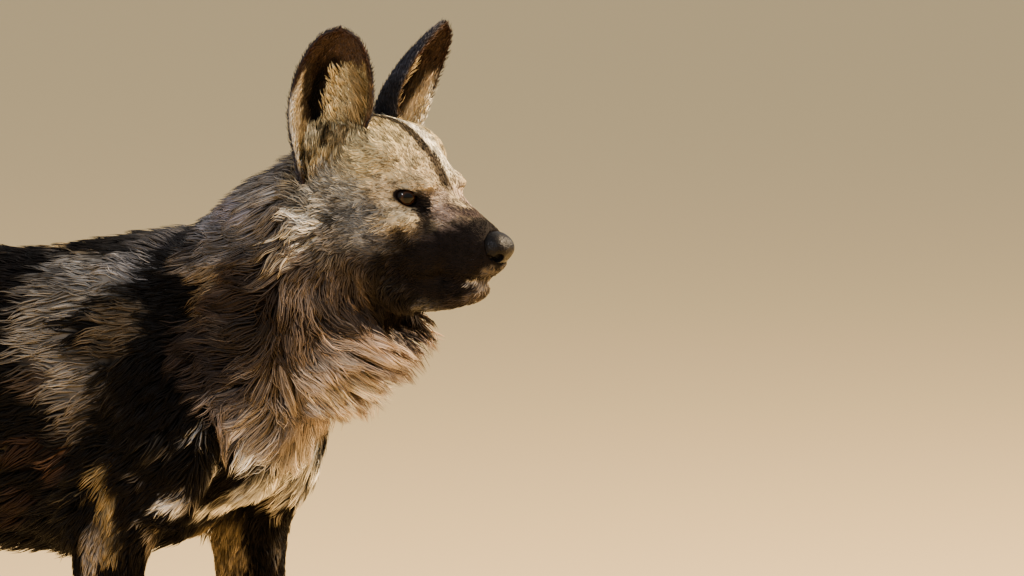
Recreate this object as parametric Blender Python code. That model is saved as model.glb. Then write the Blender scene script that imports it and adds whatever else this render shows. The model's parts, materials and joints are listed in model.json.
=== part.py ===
"""African wild dog, standing and looking ahead: a still, life-size model in named pieces.

Metres, +X ahead, +Y to the dog's left, +Z up. The origin is on the floor, under the middle of the model's box.
Soft forms are lofted along their own axes, fused into one flesh by a voxel remesh, smoothed, and then parted by
thin cuts. The ruff and the brush of the tail are flat, tapered locks rooted in a core.
"""

import math
import random

import bmesh
import bpy
from mathutils import Matrix, Vector
from mathutils.bvhtree import BVHTree
from mathutils.kdtree import KDTree

# Driving dimensions
GAP = 0.0003  # between two pieces that touch
PALM_HEIGHT = 0.0205
PALM_AHEAD = 0.010  # from the leg's last station to the middle of the palm
PALM = (0.034, 0.027, 0.0235)  # half length, half width, half height
CLAW_HEIGHT = 0.0125
HEAD_PLACE = Vector((0.472, 0.010, 0.7466))  # the point midway between the eyes
HEAD_TURN = math.radians(3.0)  # to the dog's left
HEAD_DROP = math.radians(12.2)  # nose down
LEFT_FORELEG_AHEAD = 0.030  # the left forefoot stands this far ahead of the right one
LEFT_HINDLEG_AHEAD = -0.022
FORE_HOLD = 0.52  # above this height a leg doesn't slide
HIND_HOLD = 0.56
EYE_RADIUS = 0.0112
EYE_PLACE = Vector((-0.0085, 0.0312, -0.0040))  # left eye, head frame
EYE_AIM = Vector((0.76, 0.63, 0.10)).normalized()
EAR_ROOT = Vector((-0.091, 0.047, 0.018))  # left ear, head frame
EAR_TIP = Vector((-0.075, 0.078, 0.133))
EAR_FACES = {1: Vector((0.98, 0.19, 0.0)), -1: Vector((0.66, -0.75, 0.0))}  # the way each cup opens
EAR_THICK = 0.0042
EYE_SLANT = 0.25  # the outer corner sits higher
OPENING = (0.0122, 0.0068, 0.0094)  # half length, half height and half depth of the almond between the lids
LID = 0.0024
LID_TURN = 0.4  # keeps the edges of the lids off those of the eyeball
MOUTH_HEIGHT = 0.0016
MOUTH_DEPTH = 0.0036
MOUTH_RAISE = 0.0007  # the groove's widest line lies just outside the lips
LOCK_SEED = 13
LOCK_SINK = 0.006
THROAT_EDGE = -0.5  # the cosine, from straight up, past which the neck's locks are those of the throat
VOXEL = 0.0035
TWIN = 0.000003  # points closer than this count as one

SIDES = {"left": 1, "right": -1}
ACROSS = Vector((0.0, 1.0, 0.0))


# Small tools


def material(name, colour, roughness):
    made = bpy.data.materials.new(name)
    made.use_nodes = True
    shader = made.node_tree.nodes["Principled BSDF"]
    shader.inputs["Base Color"].default_value = (*colour, 1.0)
    shader.inputs["Roughness"].default_value = roughness
    shader.inputs["Metallic"].default_value = 0.0
    return made


def new_object(name, mesh):
    made = bpy.data.objects.new(name, mesh)
    bpy.context.scene.collection.objects.link(made)
    return made


def object_from(name, bm):
    """A new object that holds this bmesh, with its faces turned out."""
    bm.normal_update()
    bmesh.ops.recalc_face_normals(bm, faces=bm.faces)
    if bm.calc_volume(signed=True) < 0:
        bmesh.ops.reverse_faces(bm, faces=bm.faces)
    mesh = bpy.data.meshes.new(name)
    bm.to_mesh(mesh)
    bm.free()
    return new_object(name, mesh)


def remove(*objects):
    for old in objects:
        bpy.data.objects.remove(old, do_unlink=True)


def settle(obj):
    """Applies obj's modifiers to its mesh."""
    graph = bpy.context.evaluated_depsgraph_get()
    mesh = bpy.data.meshes.new_from_object(obj.evaluated_get(graph))
    obj.modifiers.clear()
    obj.data = mesh
    return obj


def joined(name, objects):
    """One object that holds the meshes of all these objects, which are removed."""
    bm = bmesh.new()
    for old in objects:
        bm.from_mesh(old.data)
    remove(*objects)
    return object_from(name, bm)


def copied(obj, name):
    return new_object(name, obj.data.copy())


def boolean(obj, operation, *others, solver="EXACT"):
    """Cuts obj by the others, or joins them to it, and removes them."""
    group = bpy.data.collections.new("operands")
    for other in others:
        group.objects.link(other)
    modifier = obj.modifiers.new("Boolean", "BOOLEAN")
    modifier.operation = operation
    modifier.solver = solver
    modifier.operand_type = "COLLECTION"
    modifier.collection = group
    settle(obj)
    remove(*others)
    bpy.data.collections.remove(group)
    return obj


def decimated(obj, triangles):
    """Brings obj down to about this many triangles."""
    have = sum(len(face.vertices) - 2 for face in obj.data.polygons)
    if have > triangles:
        modifier = obj.modifiers.new("Decimate", "DECIMATE")
        modifier.ratio = triangles / have
        settle(obj)
    return obj


def shells_of(bm):
    """The faces of bm, grouped into its closed surfaces."""
    left = set(bm.faces)
    shells = []
    while left:
        shell = [left.pop()]
        for face in shell:
            for edge in face.edges:
                for near in edge.link_faces:
                    if near in left:
                        left.remove(near)
                        shell.append(near)
        shells.append(shell)
    return shells


def shell_volume(shell):
    """Six times the volume inside a closed surface of triangles."""
    corners = ([vert.co for vert in face.verts] for face in shell)
    return abs(sum(a.dot(b.cross(c)) for a, b, c in corners))


def largest_shell(obj):
    """Keeps the largest closed surface of obj."""
    bm = bmesh.new()
    bm.from_mesh(obj.data)
    bmesh.ops.triangulate(bm, faces=bm.faces)
    shells = sorted(shells_of(bm), key=shell_volume)
    scraps = [face for shell in shells[:-1] for face in shell]
    bmesh.ops.delete(bm, geom=scraps, context="FACES")
    wires = [edge for edge in bm.edges if not edge.link_faces]
    bmesh.ops.delete(bm, geom=wires, context="EDGES")
    draw_apart(bm)
    bm.to_mesh(obj.data)
    bm.free()
    return obj


def draw_apart(bm):
    """Moves each point that lies on another one a little inwards, so that no two edges fall together."""
    bm.normal_update()
    tree = KDTree(len(bm.verts))
    for k, vert in enumerate(bm.verts):
        tree.insert(vert.co, k)
    tree.balance()
    twins = [vert for vert in bm.verts if len(tree.find_range(vert.co, TWIN)) > 1]
    for k, vert in enumerate(twins):
        vert.co -= vert.normal * TWIN * (2 + k % 3)


def through(rows, steps):
    """Rows of numbers, with steps - 1 more between each two on a Catmull-Rom curve."""
    ends = [rows[0], *rows, rows[-1]]
    made = []
    for i in range(len(rows) - 1):
        before, start, end, after = ends[i : i + 4]
        for k in range(steps):
            t = k / steps
            made.append(
                tuple(
                    0.5 * (2 * b + (c - a) * t + (2 * a - 5 * b + 4 * c - d) * t**2 + (3 * b - a - 3 * c + d) * t**3)
                    for a, b, c, d in zip(before, start, end, after)
                )
            )
    return [*made, tuple(rows[-1])]


def loft(name, stations, steps=4, sides=28, boxy=2.0):
    """A closed tube along its stations, each (x, y, z, reach towards u, reach the other way, half width).

    u is the tangent crossed with the width: up on a form that runs ahead, ahead on one that runs down.
    """
    rows = through(stations, steps)
    centres = [Vector(row[:3]) for row in rows]
    bm = bmesh.new()
    verts = bmesh.ops.create_circle(bm, segments=sides, radius=1.0)["verts"]
    edges = list({edge for vert in verts for edge in vert.link_edges})
    for i, row in enumerate(rows):
        if i:
            grown = bmesh.ops.extrude_edge_only(bm, edges=edges)["geom"]
            fresh = {vert for vert in grown if isinstance(vert, bmesh.types.BMVert)}
            edges = [e for e in grown if isinstance(e, bmesh.types.BMEdge) and fresh.issuperset(e.verts)]
            verts = [next(e.other_vert(v) for e in v.link_edges if e.other_vert(v) in fresh) for v in verts]
        tangent = (centres[min(i + 1, len(rows) - 1)] - centres[max(i - 1, 0)]).normalized()
        width = (ACROSS - tangent * tangent.dot(ACROSS)).normalized()
        high = tangent.cross(width)
        towards, away, half = row[3:6]
        for k, vert in enumerate(verts):
            angle = 2 * math.pi * k / sides
            c, s = math.cos(angle), math.sin(angle)
            c = math.copysign(abs(c) ** (2 / boxy), c)
            s = math.copysign(abs(s) ** (2 / boxy), s)
            vert.co = centres[i] + width * (half * c) + high * ((towards if s > 0 else away) * s)
    bmesh.ops.holes_fill(bm, edges=[e for e in bm.edges if e.is_boundary], sides=0)
    return object_from(name, bm)


def blob(name, centre, radii, turn=Matrix.Identity(3), detail=3):
    """An ellipsoid."""
    bm = bmesh.new()
    bmesh.ops.create_icosphere(bm, subdivisions=detail, radius=1.0)
    for vert in bm.verts:
        vert.co = Vector(centre) + turn @ Vector([a * b for a, b in zip(vert.co, radii)])
    return object_from(name, bm)


def fused(name, forms, voxel, passes):
    """The forms as one flesh: their union in voxels, then smoothed."""
    flesh = joined(name, forms)
    remesh = flesh.modifiers.new("Remesh", "REMESH")
    remesh.mode = "VOXEL"
    remesh.voxel_size = voxel
    smooth = flesh.modifiers.new("Smooth", "SMOOTH")
    smooth.factor = 0.5
    smooth.iterations = passes
    return settle(flesh)


def sliced(obj, point, normal):
    """Keeps the side of the plane that normal points to, and closes the cut."""
    bm = bmesh.new()
    bm.from_mesh(obj.data)
    everything = [*bm.verts, *bm.edges, *bm.faces]
    bmesh.ops.bisect_plane(bm, geom=everything, dist=1e-6, plane_co=point, plane_no=normal, clear_inner=True)
    bmesh.ops.holes_fill(bm, edges=[edge for edge in bm.edges if edge.is_boundary], sides=0)
    bmesh.ops.triangulate(bm, faces=bm.faces)
    bm.to_mesh(obj.data)
    bm.free()
    return obj


def parted(whole, name, point, normal):
    """Cuts the part of whole that normal points to off it, with a gap between the two, and returns it."""
    piece = copied(whole, name)
    normal = Vector(normal).normalized()
    point = Vector(point)
    sliced(piece, point + normal * (GAP / 2), normal)
    sliced(whole, point - normal * (GAP / 2), -normal)
    return largest_shell(piece)


def prism(name, outline, low, high, place):
    """A closed prism over an outline of 2-D points. place turns (depth, a, b) into a point."""
    bm = bmesh.new()
    ends = [[bm.verts.new(place(depth, a, b)) for a, b in outline] for depth in (low, high)]
    for end in ends:
        bm.faces.new(end)
    bmesh.ops.bridge_loops(bm, edges=[edge for edge in bm.edges if len(edge.link_faces) == 1])
    return object_from(name, bm)


def cut_off(whole, name, cutter):
    """Cuts the part of whole inside cutter off it, with a gap between the two, and returns it."""
    piece = copied(whole, name)
    grown = swollen(cutter, 2 * GAP)
    boolean(piece, "INTERSECT", cutter)
    boolean(whole, "DIFFERENCE", grown)
    return largest_shell(piece)


def swollen(obj, by):
    """A copy of obj with each point moved out along its normal."""
    made = copied(obj, obj.name + "_swollen")
    made.data.update()
    moves = [vert.normal.copy() for vert in made.data.vertices]
    for vert, move in zip(made.data.vertices, moves):
        vert.co += move * by
    return made


# Where the head is

HEAD = Matrix.Translation(HEAD_PLACE) @ Matrix.Rotation(HEAD_TURN, 4, "Z") @ Matrix.Rotation(HEAD_DROP, 4, "Y")


def in_head(x, y, z):
    """A point of the head frame, in the model's frame."""
    return HEAD @ Vector((x, y, z))


def head_way(way):
    return HEAD.to_3x3() @ way


def placed_in_head(obj):
    obj.data.transform(HEAD)
    return obj


# Body forms: each station is x, y, z, reach up or ahead, reach down or back, half width

TORSO = [
    (-0.476, 0, 0.588, 0.026, 0.026, 0.024),
    (-0.455, 0, 0.588, 0.054, 0.052, 0.050),
    (-0.405, 0, 0.592, 0.079, 0.086, 0.075),
    (-0.330, 0, 0.597, 0.092, 0.103, 0.086),
    (-0.250, 0, 0.592, 0.098, 0.110, 0.087),
    (-0.170, 0, 0.582, 0.104, 0.122, 0.096),
    (-0.080, 0, 0.572, 0.111, 0.141, 0.105),
    (0.010, 0, 0.567, 0.116, 0.152, 0.109),
    (0.090, 0, 0.570, 0.121, 0.157, 0.108),
    (0.160, 0, 0.576, 0.126, 0.155, 0.105),
    (0.210, 0, 0.578, 0.124, 0.148, 0.100),
    (0.253, 0, 0.572, 0.112, 0.130, 0.090),
    (0.286, 0, 0.564, 0.090, 0.104, 0.074),
    (0.310, 0, 0.560, 0.060, 0.070, 0.050),
    (0.322, 0, 0.558, 0.027, 0.032, 0.024),
]
NECK = [
    (0.150, 0.000, 0.575, 0.098, 0.095, 0.080),
    (0.205, 0.000, 0.602, 0.091, 0.096, 0.082),
    (0.250, 0.001, 0.632, 0.079, 0.106, 0.082),
    (0.296, 0.003, 0.668, 0.070, 0.120, 0.081),
    (0.340, 0.005, 0.704, 0.066, 0.115, 0.076),
    (0.385, 0.007, 0.735, 0.058, 0.096, 0.068),
    (0.415, 0.008, 0.745, 0.040, 0.070, 0.052),
]
SHOULDER = [
    (0.150, 0.050, 0.668, 0.026, 0.030, 0.022),
    (0.172, 0.064, 0.640, 0.046, 0.050, 0.030),
    (0.208, 0.073, 0.580, 0.058, 0.060, 0.035),
    (0.236, 0.076, 0.532, 0.056, 0.062, 0.036),
    (0.234, 0.078, 0.492, 0.049, 0.058, 0.034),
    (0.220, 0.079, 0.452, 0.036, 0.045, 0.030),
]
FORELEG = [
    (0.225, 0.071, 0.545, 0.042, 0.050, 0.035),
    (0.207, 0.077, 0.495, 0.056, 0.058, 0.036),
    (0.187, 0.080, 0.450, 0.046, 0.054, 0.033),
    (0.178, 0.081, 0.410, 0.033, 0.045, 0.028),
    (0.180, 0.080, 0.355, 0.0275, 0.034, 0.0245),
    (0.185, 0.078, 0.295, 0.0230, 0.0250, 0.0210),
    (0.189, 0.077, 0.240, 0.0190, 0.0205, 0.0182),
    (0.191, 0.077, 0.205, 0.0208, 0.0218, 0.0202),
    (0.193, 0.077, 0.170, 0.0182, 0.0202, 0.0190),
    (0.196, 0.077, 0.120, 0.0168, 0.0182, 0.0195),
    (0.202, 0.077, 0.078, 0.0182, 0.0180, 0.0218),
    (0.210, 0.077, 0.048, 0.0205, 0.0180, 0.0245),
    (0.216, 0.077, 0.028, 0.0160, 0.0140, 0.0200),
]
HINDLEG = [
    (-0.345, 0.045, 0.635, 0.060, 0.055, 0.036),
    (-0.345, 0.056, 0.585, 0.080, 0.080, 0.046),
    (-0.336, 0.066, 0.530, 0.084, 0.090, 0.048),
    (-0.325, 0.074, 0.475, 0.074, 0.080, 0.043),
    (-0.318, 0.079, 0.425, 0.054, 0.062, 0.037),
    (-0.325, 0.081, 0.380, 0.043, 0.046, 0.032),
    (-0.350, 0.080, 0.325, 0.032, 0.033, 0.0265),
    (-0.385, 0.078, 0.270, 0.0235, 0.0255, 0.0210),
    (-0.413, 0.077, 0.225, 0.0180, 0.0240, 0.0175),
    (-0.425, 0.077, 0.192, 0.0190, 0.0270, 0.0185),
    (-0.425, 0.077, 0.155, 0.0165, 0.0190, 0.0175),
    (-0.418, 0.077, 0.110, 0.0155, 0.0165, 0.0180),
    (-0.408, 0.077, 0.070, 0.0175, 0.0170, 0.0210),
    (-0.399, 0.077, 0.044, 0.0195, 0.0175, 0.0235),
    (-0.394, 0.077, 0.026, 0.0160, 0.0140, 0.0200),
]
TAIL = [
    (-0.425, 0, 0.628, 0.020, 0.020, 0.020),
    (-0.462, 0, 0.628, 0.021, 0.021, 0.021),
    (-0.493, 0, 0.600, 0.018, 0.018, 0.018),
    (-0.514, 0, 0.552, 0.015, 0.015, 0.015),
    (-0.522, 0, 0.490, 0.014, 0.014, 0.014),
    (-0.520, 0, 0.425, 0.013, 0.013, 0.013),
    (-0.511, 0, 0.370, 0.011, 0.011, 0.011),
    (-0.503, 0, 0.330, 0.007, 0.007, 0.007),
]
# Head forms in the head frame, whose origin is midway between the eyes
SKULL = [
    (-0.122, 0, -0.012, 0.026, 0.028, 0.024),
    (-0.108, 0, -0.012, 0.048, 0.052, 0.047),
    (-0.085, 0, -0.012, 0.064, 0.066, 0.059),
    (-0.060, 0, -0.014, 0.069, 0.068, 0.062),
    (-0.038, 0, -0.018, 0.063, 0.064, 0.059),
    (-0.018, 0, -0.024, 0.055, 0.056, 0.052),
    (0.000, 0, -0.030, 0.0465, 0.046, 0.0435),
    (0.018, 0, -0.034, 0.0380, 0.036, 0.0350),
    (0.038, 0, -0.038, 0.0348, 0.029, 0.0302),
    (0.054, 0, -0.040, 0.0312, 0.0260, 0.0278),
    (0.066, 0, -0.0405, 0.0284, 0.0215, 0.0256),
    (0.075, 0, -0.0395, 0.0235, 0.0165, 0.0212),
    (0.0812, 0, -0.0385, 0.0165, 0.0115, 0.0142),
    (0.0845, 0, -0.0375, 0.0080, 0.0060, 0.0075),
]
JAW = [
    (-0.085, 0, -0.066, 0.034, 0.034, 0.040),
    (-0.055, 0, -0.072, 0.036, 0.037, 0.050),
    (-0.020, 0, -0.073, 0.028, 0.036, 0.045),
    (0.012, 0, -0.073, 0.019, 0.032, 0.034),
    (0.036, 0, -0.0730, 0.014, 0.0240, 0.0275),
    (0.052, 0, -0.0725, 0.011, 0.0165, 0.0228),
    (0.064, 0, -0.0708, 0.0095, 0.0110, 0.0170),
    (0.0735, 0, -0.0688, 0.0042, 0.0045, 0.0080),
]
HEAD_BLOBS = {
    # name: place of the left one, radii
    "cheek": ((-0.046, 0.031, -0.046), (0.050, 0.036, 0.050)),
    "cheekbone": ((-0.020, 0.034, -0.024), (0.042, 0.0235, 0.021)),
    "brow": ((-0.007, 0.024, 0.011), (0.025, 0.015, 0.0105)),
    "upper_lip": ((0.047, 0.0155, -0.0505), (0.0265, 0.0135, 0.0148)),
    "lip_corner": ((0.006, 0.030, -0.047), (0.040, 0.0165, 0.027)),
    "temple": ((-0.054, 0.031, 0.018), (0.040, 0.028, 0.032)),
    "ear_base": ((-0.092, 0.044, 0.014), (0.024, 0.018, 0.024)),
}
NOSE = [
    (0.064, 0, -0.0280, 0.0090, 0.0090, 0.0100),
    (0.071, 0, -0.0290, 0.0128, 0.0125, 0.0150),
    (0.0775, 0, -0.0308, 0.0128, 0.0132, 0.0160),
    (0.0830, 0, -0.0328, 0.0110, 0.0122, 0.0140),
    (0.0868, 0, -0.0342, 0.0077, 0.0088, 0.0100),
    (0.0888, 0, -0.0350, 0.0034, 0.0040, 0.0050),
]
MOUTH_LINE = [
    # the left half, from the corner of the mouth to the middle of the lips
    (-0.002, 0.044, -0.060),
    (0.014, 0.039, -0.065),
    (0.030, 0.034, -0.0665),
    (0.046, 0.030, -0.066),
    (0.060, 0.026, -0.064),
    (0.069, 0.018, -0.062),
    (0.074, 0.009, -0.061),
    (0.076, 0.000, -0.060),
]


def mirrored(stations, side):
    return [(row[0], row[1] * side, *row[2:]) for row in stations]


def moved_ahead(stations, by, hold):
    """Slides a leg's stations ahead, the more the lower they are, and by nothing above the height hold."""
    return [(row[0] + by * min(1.0, max(0.0, (hold - row[2]) / 0.10)), *row[1:]) for row in stations]


def leg_rows(stations, side, ahead, hold):
    rows = mirrored(stations, SIDES[side])
    return moved_ahead(rows, ahead if side == "left" else 0.0, hold)


def paw_forms(name, ankle, side):
    """A palm and four toes on the floor, under and ahead of the leg's last station."""
    palm = Vector((ankle[0] + PALM_AHEAD, ankle[1], PALM_HEIGHT))
    forms = [blob(name, palm, PALM)]
    toes = [(0.024, -0.0245, 0.0), (0.037, -0.0090, 0.004), (0.038, 0.0090, 0.004), (0.026, 0.0245, 0.0)]
    for ahead, across, longer in toes:
        root = palm + Vector((ahead * 0.35, across * 0.72, 0.004))
        tip = palm + Vector((ahead + 0.006, across, -0.011))
        forms.append(
            loft(
                name,
                [
                    (*root, 0.013, 0.013, 0.0105),
                    (*root.lerp(tip, 0.5), 0.0155, 0.0135, 0.0118),
                    (*root.lerp(tip, 0.9), 0.0130, 0.0125, 0.0115),
                    (*(tip + Vector((0.008 + longer, 0, -0.001))), 0.0085, 0.0085, 0.0080),
                    (*(tip + Vector((0.013 + longer, 0, -0.002))), 0.0035, 0.0035, 0.0035),
                ],
                steps=2,
                sides=12,
            )
        )
    return forms


def claw(name, ankle, ahead, across):
    """One blunt claw, its root sunk in the toe."""
    toe = Vector((ankle[0] + PALM_AHEAD + ahead, ankle[1] + across, CLAW_HEIGHT))
    return loft(
        name,
        [
            (*(toe + Vector((0.000, 0, 0.0020))), 0.0034, 0.0034, 0.0026),
            (*(toe + Vector((0.009, 0, 0.0012))), 0.0032, 0.0032, 0.0024),
            (*(toe + Vector((0.015, 0, -0.0022))), 0.0022, 0.0022, 0.0018),
            (*(toe + Vector((0.0195, 0, -0.0066))), 0.0008, 0.0008, 0.0007),
        ],
        steps=1,
        sides=6,
    )


CLAWS = [(0.034, -0.0245), (0.050, -0.0090), (0.051, 0.0090), (0.036, 0.0245)]


def body_forms():
    forms = [loft("torso", TORSO, boxy=2.15), loft("neck", NECK)]
    forms.append(loft("tail", TAIL, sides=16))
    for side, sign in SIDES.items():
        forms.append(loft("shoulder", mirrored(SHOULDER, sign), sides=20))
        fore = leg_rows(FORELEG, side, LEFT_FORELEG_AHEAD, FORE_HOLD)
        hind = leg_rows(HINDLEG, side, LEFT_HINDLEG_AHEAD, HIND_HOLD)
        for rows in (fore, hind):
            forms.append(loft("leg", rows, sides=20))
            forms += paw_forms("paw", rows[-1], sign)
    return forms


def head_forms():
    """The head's forms, placed in the model."""
    forms = [loft("skull", SKULL, boxy=2.2), loft("jaw", JAW, boxy=2.2)]
    for name, (place, radii) in HEAD_BLOBS.items():
        for sign in SIDES.values():
            forms.append(blob(name, (place[0], place[1] * sign, place[2]), radii))
    return [placed_in_head(form) for form in forms]


def press(obj, place, radius, move):
    """Moves the points of obj near a place, most in its middle: one stroke of a thumb."""
    place, move = Vector(place), Vector(move)
    for vert in obj.data.vertices:
        far = (vert.co - place).length / radius
        if far < 1:
            vert.co += move * (1 - far * far) ** 2


# Ears


EAR_SHAPE = [
    # share of the height, half width measured over the curve, half angle of the cup in degrees
    (-0.12, 0.036, 138),
    (0.0, 0.046, 130),
    (0.15, 0.0500, 106),
    (0.35, 0.0495, 78),
    (0.55, 0.0440, 66),
    (0.75, 0.0345, 56),
    (0.90, 0.0235, 48),
    (0.975, 0.0130, 44),
    (1.0, 0.0050, 42),
]
EAR_SLUMP = 0.030  # how much lower the outer edge is rooted than the inner one
EAR_SET_BACK = 0.020


def ear_rows(side, across=8, steps=1):
    """Points of the ear's leaf, row by row from the root to the tip, in the head frame."""
    root = Vector((EAR_ROOT.x, EAR_ROOT.y * side, EAR_ROOT.z))
    rise = Vector((EAR_TIP.x, EAR_TIP.y * side, EAR_TIP.z)) - root
    axis = rise.normalized()
    face = EAR_FACES[side]
    face = (face - axis * face.dot(axis)).normalized()
    width = axis.cross(face)
    rows = []
    for share, half, angle in through(EAR_SHAPE, steps):
        turn = math.radians(angle)
        radius = half / turn
        belly = 0.010 * math.sin(math.pi * min(1.0, max(0.0, share)))
        middle = root + rise * share - face * (EAR_SET_BACK * (1 - share) + belly)
        row = []
        for k in range(across + 1):
            v = 2 * k / across - 1
            slump = EAR_SLUMP * max(0.0, v * side) * (1 - share) ** 3
            bend = width * math.sin(v * turn) + face * (1 - math.cos(v * turn))
            row.append(middle + bend * radius - axis * slump)
        rows.append(row)
    return rows


def ear_shell(name, side):
    """A cupped leaf of even thickness, closed all round."""
    bm = bmesh.new()
    grid = [[bm.verts.new(point) for point in row] for row in ear_rows(side)]
    for low, high in zip(grid, grid[1:]):
        for k in range(len(low) - 1):
            bm.faces.new((low[k], low[k + 1], high[k + 1], high[k]))
    ear = object_from(name, bm)
    solid = ear.modifiers.new("Solidify", "SOLIDIFY")
    solid.thickness = EAR_THICK
    solid.offset = 0.0
    settle(ear)
    return placed_in_head(ear)


# Locks


def lock(name, path, widths, thick, outs):
    """A flat, tapered lock along path, closed, with a section like a lens. outs holds the ways it faces."""
    bm = bmesh.new()
    rings = []
    for i, point in enumerate(path[:-1]):
        tangent = (path[i + 1] - path[max(i - 1, 0)]).normalized()
        out = (outs[i] - tangent * outs[i].dot(tangent)).normalized()
        wide = tangent.cross(out) * (widths[i] / 2)
        high = out * (thick * widths[i] / max(widths) / 2)
        rings.append([bm.verts.new(point + step) for step in (wide, high, -wide, -high)])
    tip = bm.verts.new(path[-1])
    bm.faces.new(rings[0])
    for low, high in zip(rings, rings[1:]):
        for k in range(4):
            bm.faces.new((low[k], low[(k + 1) % 4], high[(k + 1) % 4], high[k]))
    for k in range(4):
        bm.faces.new((rings[-1][k], rings[-1][(k + 1) % 4], tip))
    bmesh.ops.triangulate(bm, faces=bm.faces)
    return object_from(name, bm)


def tree_of(*objects):
    """A search tree over the faces of the objects."""
    verts = []
    faces = []
    for obj in objects:
        first = len(verts)
        verts += [vert.co.copy() for vert in obj.data.vertices]
        faces += [[first + v for v in face.vertices] for face in obj.data.polygons]
    return BVHTree.FromPolygons(verts, faces)


def laid_lock(tree, root, out, lie, length, width, thick, low, high):
    """A lock that starts under its root and lies along the surface, its tip from low to high above it."""
    path = [root - out * LOCK_SINK]
    outs = [out]
    place = root
    for share in (0.25, 0.5, 0.75, 1.0):
        place = place + lie * (length / 4)
        foot, foot_out, _, _ = tree.find_nearest(place)
        rise = 0.35 + 0.65 * share
        height = min(max((place - foot).dot(foot_out), low * rise), high * rise)
        place = foot + foot_out * height
        path.append(place)
        outs.append(foot_out)
    return lock("lock", path, [width * part for part in (0.75, 1.0, 0.95, 0.65)], thick, outs)


# Coat of the neck and tail


def neck_place(share):
    """A point of the neck's middle line and the way along it, from the head down to the body."""
    rows = through(NECK[1:-1], 6)
    at = (1 - share) * (len(rows) - 1)
    low = min(int(at), len(rows) - 2)
    start, end = Vector(rows[low][:3]), Vector(rows[low + 1][:3])
    return start.lerp(end, at - low), (start - end).normalized()


def neck_roots(draw, rings=6, around=12, rows=6, across=4):
    """Places for the neck's locks: rings round the nape and sides, and closer rows down the throat."""
    roots = []
    for ring in range(rings):
        for k in range(around):
            angle = 2 * math.pi * (k + 0.5 * (ring % 2) + draw.uniform(-0.15, 0.15)) / around
            if math.cos(angle) > THROAT_EDGE:
                roots.append(((ring + draw.uniform(0.3, 0.7)) / rings, angle))
    spread = 2 * (math.pi - math.acos(THROAT_EDGE)) / across
    for row in range(rows):
        for k in range(across):
            turn = spread * (k - 0.5 * (across - 1) + 0.5 * (row % 2) - 0.25 + draw.uniform(-0.15, 0.15))
            roots.append(((row + draw.uniform(0.3, 0.7)) / rows, math.pi + turn))
    return roots


def neck_locks(tree):
    """The ruff: short and laid back on the nape, long on the sides, standing forward under the throat."""
    draw = random.Random(LOCK_SEED)
    made = []
    for share, angle in neck_roots(draw):
        middle, along = neck_place(share)
        high = ACROSS.cross(along)
        if high.z < 0:
            high = -high
        out = high * math.cos(angle) + ACROSS * math.sin(angle)
        root, normal, _, _ = tree.ray_cast(middle + out * 0.2, -out)
        throat = max(0.0, -math.cos(angle))
        nape = max(0.0, math.cos(angle))
        ahead = (1 - share) ** 2 * throat
        lie = along * (0.8 - 0.4 * throat) + normal * (0.05 + 0.75 * throat)
        lie += Vector((1.1 * ahead, 0, -0.45 * (1 - nape) * (1 - throat)))
        lie += ACROSS * draw.uniform(-0.10, 0.10)
        length = 0.052 + 0.026 * (1 - nape) - 0.020 * throat + 0.022 * ahead + draw.uniform(-0.006, 0.006)
        low = 0.004 + 0.007 * (1 - nape) + draw.uniform(-0.001, 0.001)
        rise = 0.006 + 0.010 * (1 - nape) + (0.026 - 0.012 * share) * throat
        width = (0.031 + 0.008 * throat) * draw.uniform(0.9, 1.1)
        thick = 0.008 + 0.005 * throat
        made.append(laid_lock(tree, root, normal, lie.normalized(), length, width, thick, low, rise))
    return made


def tail_locks(tree, rings=6, around=4):
    """The brush: locks in rings that lie down the tail, and a last one past its end."""
    draw = random.Random(LOCK_SEED + 1)
    rows = through(TAIL[3:], 6)
    made = []
    for ring in range(rings):
        share = ring / (rings - 1)
        at = share * (len(rows) - 2)
        low = int(at)
        start, end = Vector(rows[low][:3]), Vector(rows[low + 1][:3])
        along = (end - start).normalized()
        for k in range(around):
            angle = 2 * math.pi * (k + 0.5 * (ring % 2) + draw.uniform(-0.15, 0.15)) / around
            out = along.cross(ACROSS).normalized() * math.cos(angle) + ACROSS * math.sin(angle)
            root, normal, _, _ = tree.ray_cast(start + out * 0.08, -out)
            if root is None:
                continue
            lie = (along + normal * 0.20).normalized()
            length = 0.084 * draw.uniform(0.9, 1.1)
            width = 0.025 * (1 - 0.25 * share)
            made.append(laid_lock(tree, root, normal, lie, length, width, 0.007, 0.009, 0.022))
    return made


# Head details


def eye_frame(side):
    """Across the eye from its inner to its outer corner, up the lids, and the way it looks, as columns."""
    aim = Vector((EYE_AIM.x, EYE_AIM.y * side, EYE_AIM.z))
    along = Vector((0, 0, 1)).cross(aim).normalized() * side
    along = (along + Vector((0, 0, EYE_SLANT))).normalized()
    along = (along - aim * along.dot(aim)).normalized()
    up = aim.cross(along) * side
    return Matrix((along, up, aim)).transposed()


def eye_place(side):
    return Vector((EYE_PLACE.x, EYE_PLACE.y * side, EYE_PLACE.z))


def eyeball(name, side, radius, turn=Matrix.Identity(3)):
    return placed_in_head(blob(name, eye_place(side), (radius,) * 3, turn, 2))


def lid_opening(side):
    """A flat almond that cuts the opening between the lids."""
    aim = eye_frame(side).col[2]
    return placed_in_head(blob("opening", eye_place(side) + aim * EYE_RADIUS, OPENING, eye_frame(side), 2))


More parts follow.
